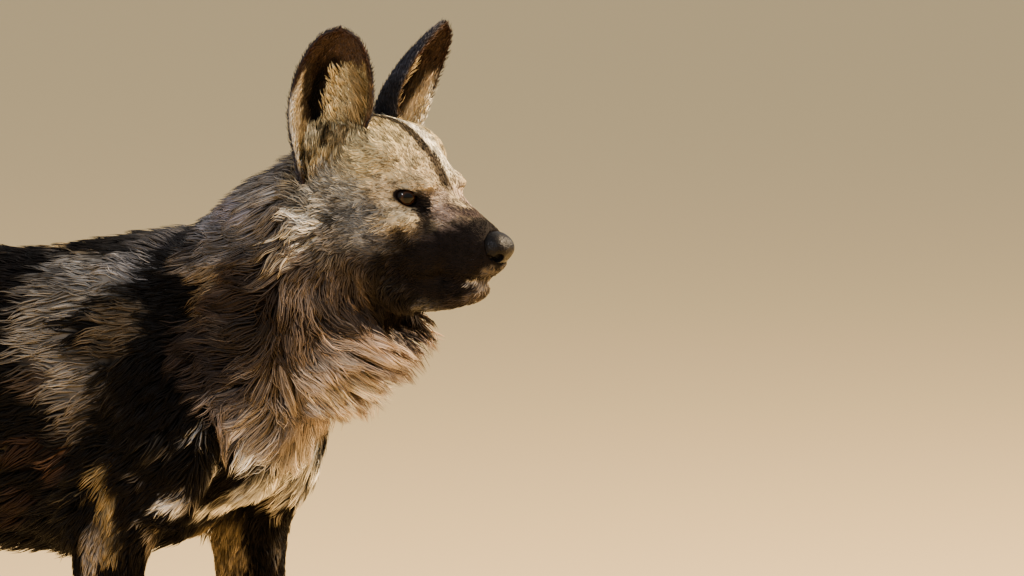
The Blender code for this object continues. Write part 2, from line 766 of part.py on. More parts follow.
def mouth_groove(tree):
    """A thin channel along the line of the mouth, sunk in the lips."""
    half = [in_head(*point) for point in MOUTH_LINE]
    far = [in_head(x, -y, z) for x, y, z in reversed(MOUTH_LINE[:-1])]
    path = []
    outs = []
    for point in [*half, *far]:
        foot, out, _, _ = tree.find_nearest(point)
        path.append(foot + out * MOUTH_RAISE)
        outs.append(out)
    rings = []
    bm = bmesh.new()
    for i, point in enumerate(path):
        tangent = (path[min(i + 1, len(path) - 1)] - path[max(i - 1, 0)]).normalized()
        out = (outs[i] - tangent * outs[i].dot(tangent)).normalized()
        high = tangent.cross(out) * MOUTH_HEIGHT
        deep = out * (MOUTH_DEPTH * (0.4 if i in (0, len(path) - 1) else 1.0))
        rings.append([bm.verts.new(point + step) for step in (deep, high * 0.8, -deep, -high * 0.8)])
    bm.faces.new(rings[0])
    bm.faces.new(rings[-1])
    for low, high in zip(rings, rings[1:]):
        for k in range(4):
            bm.faces.new((low[k], low[(k + 1) % 4], high[(k + 1) % 4], high[k]))
    bmesh.ops.triangulate(bm, faces=bm.faces)
    return object_from("mouth", bm)


def nostrils():
    """The round holes of the nose and the slits that run back from them."""
    forms = []
    for side in SIDES.values():
        turn = Matrix.Rotation(side * math.radians(28), 3, "Z")
        forms.append(blob("nostril", (0.0845, 0.0084 * side, -0.0368), (0.0068, 0.0048, 0.0050), turn, 1))
        turn = Matrix.Rotation(side * math.radians(-62), 3, "Z")
        forms.append(blob("slit", (0.0800, 0.0152 * side, -0.0380), (0.0080, 0.0042, 0.0026), turn, 1))
    return [placed_in_head(form) for form in forms]


def shape_face(head):
    """Presses the eye sockets, the hollow before each eye and the groove of the brow into the raw head."""
    for side in SIDES.values():
        aim = eye_frame(side).col[2]
        place = eye_place(side)
        for shift, radius, depth in (
            (Vector((0.004, 0.004 * side, -0.004)), 0.020, 0.0035),
            (Vector((0.020, -0.006 * side, -0.008)), 0.018, 0.0030),
        ):
            spot = in_head(*(place + aim * EYE_RADIUS + shift))
            press(head, spot, radius, head_way(aim) * -depth)
    press(head, in_head(0.004, 0, 0.018), 0.020, head_way(Vector((-0.6, 0, -0.8))) * 0.0020)
    return head


# The pieces

HEAD_CUT = ((-0.0975, 0.0, -0.035), (0.945, 0.0, 0.327))  # a point and the way ahead, in the head frame
NECK_CUT = ((0.2825, 0.0, 0.6175), (0.792, 0.0, 0.611))
TAIL_CUT = [(-0.482, 0.25), (-0.482, 0.80), (-0.80, 0.80), (-0.80, 0.25)]  # x, z
FORELEG_CUT = [(0.040, -0.10), (0.040, 0.404), (0.13, 0.490), (0.20, 0.490), (0.20, -0.10)]  # y, z
THIGH_CUT = [(-0.20, -0.10), (-0.20, 0.43), (-0.49, 0.56), (-0.62, 0.56), (-0.62, -0.10)]  # x, z
CARPUS_HEIGHT = 0.195
STIFLE_CUT = ((-0.325, 0.0, 0.400), (-0.25, 0.0, -0.97))
HOCK_HEIGHT = 0.207
ROUGH = 0.012  # flesh kept past a cut while its triangles are thinned
HEAD_TRIANGLES = 1950
BODY_TRIANGLES = 4300

COLOURS = {
    "black_coat": ((0.020, 0.018, 0.019), 0.75),
    "mottled_coat": ((0.16, 0.125, 0.095), 0.80),
    "ear_fur": ((0.070, 0.058, 0.048), 0.80),
    "white_coat": ((0.55, 0.50, 0.43), 0.80),
    "nose_leather": ((0.012, 0.012, 0.014), 0.45),
    "eye": ((0.050, 0.022, 0.008), 0.08),
}
FINISHES = {
    "head": "mottled_coat",
    "neck": "mottled_coat",
    "torso": "black_coat",
    "tail": "white_coat",
    "nose": "nose_leather",
}
PAIRED_FINISHES = {
    "ear": "ear_fur",
    "eye": "eye",
    "foreleg": "black_coat",
    "forepaw": "white_coat",
    "thigh": "black_coat",
    "shank": "mottled_coat",
    "hindpaw": "white_coat",
}


def leg_cutter(kind, sign):
    if kind == "foreleg":
        outline = [(y * sign, z) for y, z in FORELEG_CUT]
        return prism("cutter", outline, 0.10, 0.34, lambda depth, a, b: Vector((depth, a, b)))
    ends = sorted((0.012 * sign, 0.20 * sign))
    return prism("cutter", THIGH_CUT, *ends, lambda depth, a, b: Vector((a, depth, b)))


def make_legs(body):
    """Parts each leg from the body and divides it. Returns the new pieces by name."""
    pieces = {}
    for side, sign in SIDES.items():
        fore_ankle = leg_rows(FORELEG, side, LEFT_FORELEG_AHEAD, FORE_HOLD)[-1]
        hind_ankle = leg_rows(HINDLEG, side, LEFT_HINDLEG_AHEAD, HIND_HOLD)[-1]
        foreleg = cut_off(body, f"foreleg_{side}", leg_cutter("foreleg", sign))
        thigh = cut_off(body, f"thigh_{side}", leg_cutter("thigh", sign))
        forepaw = parted(foreleg, f"forepaw_{side}", (0, 0, CARPUS_HEIGHT), (0, 0, -1))
        shank = parted(thigh, f"shank_{side}", *STIFLE_CUT)
        hindpaw = parted(shank, f"hindpaw_{side}", (0, 0, HOCK_HEIGHT), (0, 0, -1))
        for paw, ankle in ((forepaw, fore_ankle), (hindpaw, hind_ankle)):
            boolean(paw, "UNION", *[claw("claw", ankle, ahead, across) for ahead, across in CLAWS])
            largest_shell(paw)
        for piece in (foreleg, forepaw, thigh, shank, hindpaw):
            pieces[piece.name] = piece
    return pieces


def make_face(head):
    """Lids, mouth and the seat of the nose on the head. Returns the eyes and the nose."""
    signs = list(SIDES.values())
    groove = mouth_groove(tree_of(head))
    turn = Matrix.Rotation(LID_TURN, 3, "X")
    lids = [eyeball("lids", sign, EYE_RADIUS + LID, turn) for sign in signs]
    boolean(head, "UNION", *lids, solver="MANIFOLD")
    nose = placed_in_head(loft("nose", NOSE, steps=1, sides=16, boxy=2.4))
    cutters = [groove, swollen(nose, GAP)]
    for sign in signs:
        cutters += [lid_opening(sign), eyeball("socket", sign, EYE_RADIUS + GAP)]
    for cutter in cutters:
        boolean(head, "DIFFERENCE", cutter, solver="MANIFOLD")
    largest_shell(head)
    boolean(nose, "DIFFERENCE", *nostrils())
    largest_shell(nose)
    eyes = [eyeball(f"eye_{side}", sign, EYE_RADIUS) for side, sign in SIDES.items()]
    return [nose, *eyes]


def make_dog():
    flesh = fused("flesh", body_forms() + head_forms(), VOXEL, 8)
    point, ahead = in_head(*HEAD_CUT[0]), head_way(Vector(HEAD_CUT[1]).normalized())
    head = copied(flesh, "head")
    decimated(shape_face(sliced(head, point - ahead * ROUGH, ahead)), HEAD_TRIANGLES)
    sliced(head, point + ahead * (GAP / 2), ahead)
    body = decimated(sliced(flesh, point + ahead * ROUGH, -ahead), BODY_TRIANGLES)
    sliced(body, point - ahead * (GAP / 2), -ahead)
    sliced(body, (0, 0, 0), (0, 0, 1))
    ears = [ear_shell(f"ear_{side}", sign) for side, sign in SIDES.items()]
    neck = parted(body, "neck", *NECK_CUT)
    for ear in ears:
        boolean(ear, "DIFFERENCE", swollen(head, GAP), swollen(neck, GAP), solver="MANIFOLD")
        largest_shell(ear)
    tail = cut_off(body, "tail", prism("cutter", TAIL_CUT, -0.045, 0.045, lambda depth, a, b: Vector((a, depth, b))))
    pieces = make_legs(body)
    torso = largest_shell(body)
    torso.name = "torso"
    boolean(neck, "UNION", *neck_locks(tree_of(neck, torso, head)), solver="MANIFOLD")
    for near in (torso, head, *ears):
        boolean(neck, "DIFFERENCE", swollen(near, GAP), solver="MANIFOLD")
    largest_shell(neck)
    boolean(tail, "UNION", *tail_locks(tree_of(tail)), solver="MANIFOLD")
    boolean(tail, "DIFFERENCE", swollen(torso, GAP), solver="MANIFOLD")
    largest_shell(tail)
    for piece in (head, *make_face(head), *ears, neck, tail, torso):
        pieces[piece.name] = piece
    return pieces


def finish(pieces):
    """Gives every piece its material and smooth shading across its soft edges."""
    made = {name: material(name, *values) for name, values in COLOURS.items()}
    for name, piece in pieces.items():
        slot = FINISHES.get(name) or PAIRED_FINISHES[name.rsplit("_", 1)[0]]
        piece.data.materials.clear()
        piece.data.materials.append(made[slot])
        piece.data.shade_smooth()
        piece.data.set_sharp_from_angle(angle=math.radians(50))


def clear_scene():
    for old in list(bpy.data.objects):
        bpy.data.objects.remove(old, do_unlink=True)


clear_scene()
finish(make_dog())
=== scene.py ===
"""African wild dog, standing and looking ahead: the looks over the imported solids.

Metres, +X ahead, +Y to the dog's left, +Z up, the floor at zero. One skin stands for the solids of the flesh.
It is lofted, fused and smoothed from the same named sizes, and lies under them by the depth of the coat.
The coat is solid tufts that follow the lie of the hair. Skin and tufts are coloured by the same markings.
"""

import json
import math

import bmesh
import bpy
import numpy as np
from mathutils import Matrix, Vector
from mathutils.bvhtree import BVHTree
from mathutils.kdtree import KDTree

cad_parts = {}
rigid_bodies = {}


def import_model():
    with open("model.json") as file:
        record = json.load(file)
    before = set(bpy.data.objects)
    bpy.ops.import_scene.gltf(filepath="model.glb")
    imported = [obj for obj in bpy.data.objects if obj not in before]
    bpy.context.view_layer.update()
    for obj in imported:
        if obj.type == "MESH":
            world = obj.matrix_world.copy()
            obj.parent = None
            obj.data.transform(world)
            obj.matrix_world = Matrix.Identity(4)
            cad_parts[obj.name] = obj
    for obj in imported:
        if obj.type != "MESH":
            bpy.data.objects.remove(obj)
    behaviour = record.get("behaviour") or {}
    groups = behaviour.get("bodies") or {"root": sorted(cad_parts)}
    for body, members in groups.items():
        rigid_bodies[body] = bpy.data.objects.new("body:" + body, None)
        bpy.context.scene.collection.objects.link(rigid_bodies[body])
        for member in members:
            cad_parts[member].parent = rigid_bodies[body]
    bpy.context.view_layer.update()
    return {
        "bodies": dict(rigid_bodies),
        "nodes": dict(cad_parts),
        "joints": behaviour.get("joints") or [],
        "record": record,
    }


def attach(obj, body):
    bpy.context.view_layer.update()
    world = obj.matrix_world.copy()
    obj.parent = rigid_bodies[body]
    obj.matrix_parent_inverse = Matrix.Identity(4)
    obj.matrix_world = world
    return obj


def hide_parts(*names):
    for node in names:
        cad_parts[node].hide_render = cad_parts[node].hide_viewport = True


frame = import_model()

GAP = 0.0003  # between two pieces that touch
PALM_HEIGHT = 0.0205
PALM_AHEAD = 0.010  # from the leg's last station to the middle of the palm
PALM = (0.034, 0.027, 0.0235)  # half length, half width, half height
CLAW_HEIGHT = 0.0125
HEAD_PLACE = Vector((0.472, 0.010, 0.7466))  # the point midway between the eyes
HEAD_TURN = math.radians(3.0)  # to the dog's left
HEAD_DROP = math.radians(12.2)  # nose down
LEFT_FORELEG_AHEAD = 0.030  # the left forefoot stands this far ahead of the right one
LEFT_HINDLEG_AHEAD = -0.022
FORE_HOLD = 0.52  # above this height a leg doesn't slide
HIND_HOLD = 0.56
EYE_RADIUS = 0.0112
EYE_PLACE = Vector((-0.0085, 0.0312, -0.0040))  # left eye, head frame
EYE_AIM = Vector((0.76, 0.63, 0.10)).normalized()
EAR_ROOT = Vector((-0.091, 0.047, 0.018))  # left ear, head frame
EAR_TIP = Vector((-0.075, 0.078, 0.133))
EAR_FACES = {1: Vector((0.98, 0.19, 0.0)), -1: Vector((0.66, -0.75, 0.0))}  # the way each cup opens
EYE_SLANT = 0.25  # the outer corner sits higher
OPENING = (0.0122, 0.0068, 0.0094)  # half length, half height and half depth of the almond between the lids
LID = 0.0024
LID_TURN = 0.4  # keeps the edges of the lids off those of the eyeball
MOUTH_HEIGHT = 0.0016
MOUTH_DEPTH = 0.0036
MOUTH_RAISE = 0.0007  # the groove's widest line lies just outside the lips
TWIN = 0.000003  # points closer than this count as one

SIDES = {"left": 1, "right": -1}  # the sign of y on each side
ACROSS = Vector((0.0, 1.0, 0.0))


# Small tools


def new_object(name, data):
    made = bpy.data.objects.new(name, data)
    bpy.context.scene.collection.objects.link(made)
    return made


def object_from(name, bm):
    """A new object that holds this bmesh, with its faces turned out."""
    bm.normal_update()
    bmesh.ops.recalc_face_normals(bm, faces=bm.faces)
    if bm.calc_volume(signed=True) < 0:
        bmesh.ops.reverse_faces(bm, faces=bm.faces)
    mesh = bpy.data.meshes.new(name)
    bm.to_mesh(mesh)
    bm.free()
    return new_object(name, mesh)


def remove(*objects):
    for old in objects:
        bpy.data.objects.remove(old, do_unlink=True)


def settle(obj):
    """Applies obj's modifiers to its mesh."""
    graph = bpy.context.evaluated_depsgraph_get()
    mesh = bpy.data.meshes.new_from_object(obj.evaluated_get(graph))
    obj.modifiers.clear()
    obj.data = mesh
    return obj


def joined(name, objects):
    """One object that holds the meshes of all these objects, which are removed."""
    bm = bmesh.new()
    for old in objects:
        bm.from_mesh(old.data)
    remove(*objects)
    return object_from(name, bm)


def boolean(obj, operation, *others, solver="EXACT"):
    """Cuts obj by the others, or joins them to it, and removes them."""
    group = bpy.data.collections.new("operands")
    for other in others:
        group.objects.link(other)
    modifier = obj.modifiers.new("Boolean", "BOOLEAN")
    modifier.operation = operation
    modifier.solver = solver
    modifier.operand_type = "COLLECTION"
    modifier.collection = group
    settle(obj)
    remove(*others)
    bpy.data.collections.remove(group)
    return obj


def decimated(obj, triangles):
    """Brings obj down to about this many triangles."""
    have = sum(len(face.vertices) - 2 for face in obj.data.polygons)
    if have > triangles:
        modifier = obj.modifiers.new("Decimate", "DECIMATE")
        modifier.ratio = triangles / have
        settle(obj)
    return obj


def shells_of(bm):
    """The faces of bm, grouped into its closed surfaces."""
    left = set(bm.faces)
    shells = []
    while left:
        shell = [left.pop()]
        for face in shell:
            for edge in face.edges:
                for near in edge.link_faces:
                    if near in left:
                        left.remove(near)
                        shell.append(near)
        shells.append(shell)
    return shells


def shell_volume(shell):
    """Six times the volume inside a closed surface of triangles."""
    corners = ([vert.co for vert in face.verts] for face in shell)
    return abs(sum(a.dot(b.cross(c)) for a, b, c in corners))


def largest_shell(obj):
    """Keeps the largest closed surface of obj."""
    bm = bmesh.new()
    bm.from_mesh(obj.data)
    bmesh.ops.triangulate(bm, faces=bm.faces)
    shells = sorted(shells_of(bm), key=shell_volume)
    scraps = [face for shell in shells[:-1] for face in shell]
    bmesh.ops.delete(bm, geom=scraps, context="FACES")
    wires = [edge for edge in bm.edges if not edge.link_faces]
    bmesh.ops.delete(bm, geom=wires, context="EDGES")
    draw_apart(bm)
    bm.to_mesh(obj.data)
    bm.free()
    return obj


def points_tree(points):
    """A search tree over points."""
    tree = KDTree(len(points))
    for k, point in enumerate(points):
        tree.insert(point, k)
    tree.balance()
    return tree


def nearest_in(tree, places):
    """The number of the tree's nearest point, for each place."""
    return np.fromiter((tree.find(place)[1] for place in places), int, len(places))


def draw_apart(bm):
    """Moves each point that lies on another one a little inwards, so that no two edges fall together."""
    bm.normal_update()
    tree = points_tree([vert.co for vert in bm.verts])
    twins = [vert for vert in bm.verts if len(tree.find_range(vert.co, TWIN)) > 1]
    for k, vert in enumerate(twins):
        vert.co -= vert.normal * TWIN * (2 + k % 3)


def curved(a, b, c, d, t):
    """The Catmull-Rom curve through four numbers, t of the way from b to c."""
    bend = (2 * a - 5 * b + 4 * c - d) * t**2
    twist = (3 * b - a - 3 * c + d) * t**3
    return 0.5 * (2 * b + (c - a) * t + bend + twist)


def through(rows, steps):
    """Rows of numbers, with steps - 1 more between each two, on a smooth curve."""
    ends = [rows[0], *rows, rows[-1]]
    made = []
    for i in range(len(rows) - 1):
        for k in range(steps):
            made.append(tuple(curved(*four, k / steps) for four in zip(*ends[i : i + 4])))
    return [*made, tuple(rows[-1])]


def loft(name, stations, steps=4, sides=28, boxy=2.0):
    """A closed tube along its stations, each (x, y, z, reach towards u, reach the other way, half width).

    u is the tangent crossed with the width: up on a form that runs ahead, ahead on one that runs down.
    """
    rows = through(stations, steps)
    centres = [Vector(row[:3]) for row in rows]
    bm = bmesh.new()
    verts = bmesh.ops.create_circle(bm, segments=sides, radius=1.0)["verts"]
    edges = list({edge for vert in verts for edge in vert.link_edges})
    for i, row in enumerate(rows):
        if i:
            grown = bmesh.ops.extrude_edge_only(bm, edges=edges)["geom"]
            fresh = {vert for vert in grown if isinstance(vert, bmesh.types.BMVert)}
            edges = [e for e in grown if isinstance(e, bmesh.types.BMEdge) and fresh.issuperset(e.verts)]
            verts = [next(e.other_vert(v) for e in v.link_edges if e.other_vert(v) in fresh) for v in verts]
        tangent = (centres[min(i + 1, len(rows) - 1)] - centres[max(i - 1, 0)]).normalized()
        width = (ACROSS - tangent * tangent.dot(ACROSS)).normalized()
        high = tangent.cross(width)
        towards, away, half = row[3:6]
        for k, vert in enumerate(verts):
            angle = 2 * math.pi * k / sides
            c, s = math.cos(angle), math.sin(angle)
            c = math.copysign(abs(c) ** (2 / boxy), c)
            s = math.copysign(abs(s) ** (2 / boxy), s)
            vert.co = centres[i] + width * (half * c) + high * ((towards if s > 0 else away) * s)
    bmesh.ops.holes_fill(bm, edges=[e for e in bm.edges if e.is_boundary], sides=0)
    return object_from(name, bm)


def blob(name, centre, radii, turn=Matrix.Identity(3), detail=3):
    """An ellipsoid."""
    bm = bmesh.new()
    bmesh.ops.create_icosphere(bm, subdivisions=detail, radius=1.0)
    for vert in bm.verts:
        vert.co = Vector(centre) + turn @ Vector([a * b for a, b in zip(vert.co, radii)])
    return object_from(name, bm)


def fused(name, forms, voxel, passes):
    """The forms as one flesh: their union in voxels, then smoothed."""
    flesh = joined(name, forms)
    remesh = flesh.modifiers.new("Remesh", "REMESH")
    remesh.mode = "VOXEL"
    remesh.voxel_size = voxel
    smooth = flesh.modifiers.new("Smooth", "SMOOTH")
    smooth.factor = 0.5
    smooth.iterations = passes
    return settle(flesh)


def sliced(obj, point, normal):
    """Keeps the side of the plane that normal points to, and closes the cut."""
    bm = bmesh.new()
    bm.from_mesh(obj.data)
    everything = [*bm.verts, *bm.edges, *bm.faces]
    bmesh.ops.bisect_plane(bm, geom=everything, dist=1e-6, plane_co=point, plane_no=normal, clear_inner=True)
    bmesh.ops.holes_fill(bm, edges=[edge for edge in bm.edges if edge.is_boundary], sides=0)
    bmesh.ops.triangulate(bm, faces=bm.faces)
    bm.to_mesh(obj.data)
    bm.free()
    return obj


def swollen(obj, by):
    """A copy of obj with each point moved out along its normal."""
    made = new_object(obj.name + "_swollen", obj.data.copy())
    made.data.update()
    moves = [vert.normal.copy() for vert in made.data.vertices]
    for vert, move in zip(made.data.vertices, moves):
        vert.co += move * by
    return made


# Where the head is

HEAD = Matrix.Translation(HEAD_PLACE) @ Matrix.Rotation(HEAD_TURN, 4, "Z")
HEAD = HEAD @ Matrix.Rotation(HEAD_DROP, 4, "Y")


def in_head(x, y, z):
    """A point of the head frame, in the model's frame."""
    return HEAD @ Vector((x, y, z))


def head_way(way):
    return HEAD.to_3x3() @ way


def placed_in_head(obj):
    obj.data.transform(HEAD)
    return obj


# Body forms: each station is x, y, z, reach up or ahead, reach down or back, half width

TORSO = [
    (-0.476, 0, 0.588, 0.026, 0.026, 0.024),
    (-0.455, 0, 0.588, 0.054, 0.052, 0.050),
    (-0.405, 0, 0.592, 0.079, 0.086, 0.075),
    (-0.330, 0, 0.597, 0.092, 0.103, 0.086),
    (-0.250, 0, 0.592, 0.098, 0.110, 0.087),
    (-0.170, 0, 0.582, 0.104, 0.122, 0.096),
    (-0.080, 0, 0.572, 0.111, 0.141, 0.105),
    (0.010, 0, 0.567, 0.116, 0.152, 0.109),
    (0.090, 0, 0.570, 0.121, 0.157, 0.108),
    (0.160, 0, 0.576, 0.126, 0.155, 0.105),
    (0.210, 0, 0.578, 0.124, 0.148, 0.100),
    (0.253, 0, 0.572, 0.112, 0.130, 0.090),
    (0.286, 0, 0.564, 0.090, 0.104, 0.074),
    (0.310, 0, 0.560, 0.060, 0.070, 0.050),
    (0.322, 0, 0.558, 0.027, 0.032, 0.024),
]
NECK = [
    (0.150, 0.000, 0.575, 0.098, 0.095, 0.080),
    (0.205, 0.000, 0.602, 0.091, 0.096, 0.082),
    (0.250, 0.001, 0.632, 0.079, 0.106, 0.082),
    (0.296, 0.003, 0.668, 0.070, 0.120, 0.081),
    (0.340, 0.005, 0.704, 0.066, 0.115, 0.076),
    (0.385, 0.007, 0.735, 0.058, 0.096, 0.068),
    (0.415, 0.008, 0.745, 0.040, 0.070, 0.052),
]
SHOULDER = [
    (0.150, 0.050, 0.668, 0.026, 0.030, 0.022),
    (0.172, 0.064, 0.640, 0.046, 0.050, 0.030),
    (0.208, 0.073, 0.580, 0.058, 0.060, 0.035),
    (0.236, 0.076, 0.532, 0.056, 0.062, 0.036),
    (0.234, 0.078, 0.492, 0.049, 0.058, 0.034),
    (0.220, 0.079, 0.452, 0.036, 0.045, 0.030),
]
FORELEG = [
    (0.225, 0.071, 0.545, 0.042, 0.050, 0.035),
    (0.207, 0.077, 0.495, 0.056, 0.058, 0.036),
    (0.187, 0.080, 0.450, 0.046, 0.054, 0.033),
    (0.178, 0.081, 0.410, 0.033, 0.045, 0.028),
    (0.180, 0.080, 0.355, 0.0275, 0.034, 0.0245),
    (0.185, 0.078, 0.295, 0.0230, 0.0250, 0.0210),
    (0.189, 0.077, 0.240, 0.0190, 0.0205, 0.0182),
    (0.191, 0.077, 0.205, 0.0208, 0.0218, 0.0202),
    (0.193, 0.077, 0.170, 0.0182, 0.0202, 0.0190),
    (0.196, 0.077, 0.120, 0.0168, 0.0182, 0.0195),
    (0.202, 0.077, 0.078, 0.0182, 0.0180, 0.0218),
    (0.210, 0.077, 0.048, 0.0205, 0.0180, 0.0245),
    (0.216, 0.077, 0.028, 0.0160, 0.0140, 0.0200),
]
HINDLEG = [
    (-0.345, 0.045, 0.635, 0.060, 0.055, 0.036),
    (-0.345, 0.056, 0.585, 0.080, 0.080, 0.046),
    (-0.336, 0.066, 0.530, 0.084, 0.090, 0.048),
    (-0.325, 0.074, 0.475, 0.074, 0.080, 0.043),
    (-0.318, 0.079, 0.425, 0.054, 0.062, 0.037),
    (-0.325, 0.081, 0.380, 0.043, 0.046, 0.032),
    (-0.350, 0.080, 0.325, 0.032, 0.033, 0.0265),
    (-0.385, 0.078, 0.270, 0.0235, 0.0255, 0.0210),
    (-0.413, 0.077, 0.225, 0.0180, 0.0240, 0.0175),
    (-0.425, 0.077, 0.192, 0.0190, 0.0270, 0.0185),
    (-0.425, 0.077, 0.155, 0.0165, 0.0190, 0.0175),
    (-0.418, 0.077, 0.110, 0.0155, 0.0165, 0.0180),
    (-0.408, 0.077, 0.070, 0.0175, 0.0170, 0.0210),
    (-0.399, 0.077, 0.044, 0.0195, 0.0175, 0.0235),
    (-0.394, 0.077, 0.026, 0.0160, 0.0140, 0.0200),
]
TAIL = [
    (-0.425, 0, 0.628, 0.020, 0.020, 0.020),
    (-0.462, 0, 0.628, 0.021, 0.021, 0.021),
    (-0.493, 0, 0.600, 0.018, 0.018, 0.018),
    (-0.514, 0, 0.552, 0.015, 0.015, 0.015),
    (-0.522, 0, 0.490, 0.014, 0.014, 0.014),
    (-0.520, 0, 0.425, 0.013, 0.013, 0.013),
    (-0.511, 0, 0.370, 0.011, 0.011, 0.011),
    (-0.503, 0, 0.330, 0.007, 0.007, 0.007),
]
# Head forms in the head frame, whose origin is midway between the eyes
SKULL = [
    (-0.122, 0, -0.012, 0.026, 0.028, 0.024),
    (-0.108, 0, -0.012, 0.048, 0.052, 0.047),
    (-0.085, 0, -0.012, 0.064, 0.066, 0.059),
    (-0.060, 0, -0.014, 0.069, 0.068, 0.062),
    (-0.038, 0, -0.018, 0.063, 0.064, 0.059),
    (-0.018, 0, -0.024, 0.055, 0.056, 0.052),
    (0.000, 0, -0.030, 0.0465, 0.046, 0.0435),
    (0.018, 0, -0.034, 0.0380, 0.036, 0.0350),
    (0.038, 0, -0.038, 0.0348, 0.029, 0.0302),
    (0.054, 0, -0.040, 0.0312, 0.0260, 0.0278),
    (0.066, 0, -0.0405, 0.0284, 0.0215, 0.0256),
    (0.075, 0, -0.0395, 0.0235, 0.0165, 0.0212),
    (0.0812, 0, -0.0385, 0.0165, 0.0115, 0.0142),
    (0.0845, 0, -0.0375, 0.0080, 0.0060, 0.0075),
]
JAW = [
    (-0.085, 0, -0.066, 0.034, 0.034, 0.040),
    (-0.055, 0, -0.072, 0.036, 0.037, 0.050),
    (-0.020, 0, -0.073, 0.028, 0.036, 0.045),
    (0.012, 0, -0.073, 0.019, 0.032, 0.034),
    (0.036, 0, -0.0730, 0.014, 0.0240, 0.0275),
    (0.052, 0, -0.0725, 0.011, 0.0165, 0.0228),
    (0.064, 0, -0.0708, 0.0095, 0.0110, 0.0170),
    (0.0735, 0, -0.0688, 0.0042, 0.0045, 0.0080),
]
HEAD_BLOBS = {
    # name: place of the left one, radii
    "cheek": ((-0.046, 0.031, -0.046), (0.050, 0.036, 0.050)),
    "cheekbone": ((-0.020, 0.034, -0.024), (0.042, 0.0235, 0.021)),
    "brow": ((-0.007, 0.024, 0.011), (0.025, 0.015, 0.0105)),
    "upper_lip": ((0.047, 0.0155, -0.0505), (0.0265, 0.0135, 0.0148)),
    "lip_corner": ((0.006, 0.030, -0.047), (0.040, 0.0165, 0.027)),
    "temple": ((-0.054, 0.031, 0.018), (0.040, 0.028, 0.032)),
    "ear_base": ((-0.092, 0.044, 0.014), (0.024, 0.018, 0.024)),
}
NOSE = [
    (0.064, 0, -0.0280, 0.0090, 0.0090, 0.0100),
    (0.071, 0, -0.0290, 0.0128, 0.0125, 0.0150),
    (0.0775, 0, -0.0308, 0.0128, 0.0132, 0.0160),
    (0.0830, 0, -0.0328, 0.0110, 0.0122, 0.0140),
    (0.0868, 0, -0.0342, 0.0077, 0.0088, 0.0100),
    (0.0888, 0, -0.0350, 0.0034, 0.0040, 0.0050),
]
MOUTH_LINE = [
    # the left half, from the corner of the mouth to the middle of the lips
    (-0.002, 0.044, -0.060),
    (0.014, 0.039, -0.065),
    (0.030, 0.034, -0.0665),
    (0.046, 0.030, -0.066),
    (0.060, 0.026, -0.064),
    (0.069, 0.018, -0.062),
    (0.074, 0.009, -0.061),
    (0.076, 0.000, -0.060),
]


def mirrored(stations, side):
    return [(row[0], row[1] * side, *row[2:]) for row in stations]


def moved_ahead(stations, by, hold):
    """Slides a leg's stations ahead, the more the lower they are, and by nothing above the height hold."""
    return [(row[0] + by * min(1.0, max(0.0, (hold - row[2]) / 0.10)), *row[1:]) for row in stations]


LEGS = ((FORELEG, LEFT_FORELEG_AHEAD, FORE_HOLD), (HINDLEG, LEFT_HINDLEG_AHEAD, HIND_HOLD))


def legs_of(side):
    """The stations of the foreleg and of the hind leg on this side."""
    return [
        moved_ahead(mirrored(stations, SIDES[side]), ahead if side == "left" else 0.0, hold)
        for stations, ahead, hold in LEGS
    ]


def paw_forms(name, ankle):
    """A palm and four toes on the floor, under and ahead of the leg's last station."""
    palm = Vector((ankle[0] + PALM_AHEAD, ankle[1], PALM_HEIGHT))
    forms = [blob(name, palm, PALM)]
    toes = [(0.024, -0.0245, 0.0), (0.037, -0.0090, 0.004), (0.038, 0.0090, 0.004), (0.026, 0.0245, 0.0)]
    for ahead, across, longer in toes:
        root = palm + Vector((ahead * 0.35, across * 0.72, 0.004))
        tip = palm + Vector((ahead + 0.006, across, -0.011))
        forms.append(
            loft(
                name,
                [
                    (*root, 0.013, 0.013, 0.0105),
                    (*root.lerp(tip, 0.5), 0.0155, 0.0135, 0.0118),
                    (*root.lerp(tip, 0.9), 0.0130, 0.0125, 0.0115),
                    (*(tip + Vector((0.008 + longer, 0, -0.001))), 0.0085, 0.0085, 0.0080),
                    (*(tip + Vector((0.013 + longer, 0, -0.002))), 0.0035, 0.0035, 0.0035),
                ],
                steps=2,
                sides=12,
            )
        )
    return forms


def claw(name, ankle, ahead, across):
    """One blunt claw, its root sunk in the toe."""
    toe = Vector((ankle[0] + PALM_AHEAD + ahead, ankle[1] + across, CLAW_HEIGHT))
    return loft(
        name,
        [
            (*(toe + Vector((0.000, 0, 0.0020))), 0.0034, 0.0034, 0.0026),
            (*(toe + Vector((0.009, 0, 0.0012))), 0.0032, 0.0032, 0.0024),
            (*(toe + Vector((0.015, 0, -0.0022))), 0.0022, 0.0022, 0.0018),
            (*(toe + Vector((0.0195, 0, -0.0066))), 0.0008, 0.0008, 0.0007),
        ],
        steps=1,
        sides=6,
    )


CLAWS = [(0.034, -0.0245), (0.050, -0.0090), (0.051, 0.0090), (0.036, 0.0245)]


def body_forms():
    forms = [loft("torso", TORSO, boxy=2.15), loft("neck", NECK)]
    forms.append(loft("tail", TAIL, sides=16))
    for side, sign in SIDES.items():
        forms.append(loft("shoulder", mirrored(SHOULDER, sign), sides=20))
        for rows in legs_of(side):
            forms.append(loft("leg", rows, sides=20))
            forms += paw_forms("paw", rows[-1])
    return forms


def head_forms():
    """The head's forms, placed in the model."""
    forms = [loft("skull", SKULL, boxy=2.2), loft("jaw", JAW, boxy=2.2)]
    for name, (place, radii) in HEAD_BLOBS.items():
        for sign in SIDES.values():
            forms.append(blob(name, (place[0], place[1] * sign, place[2]), radii))
    return [placed_in_head(form) for form in forms]


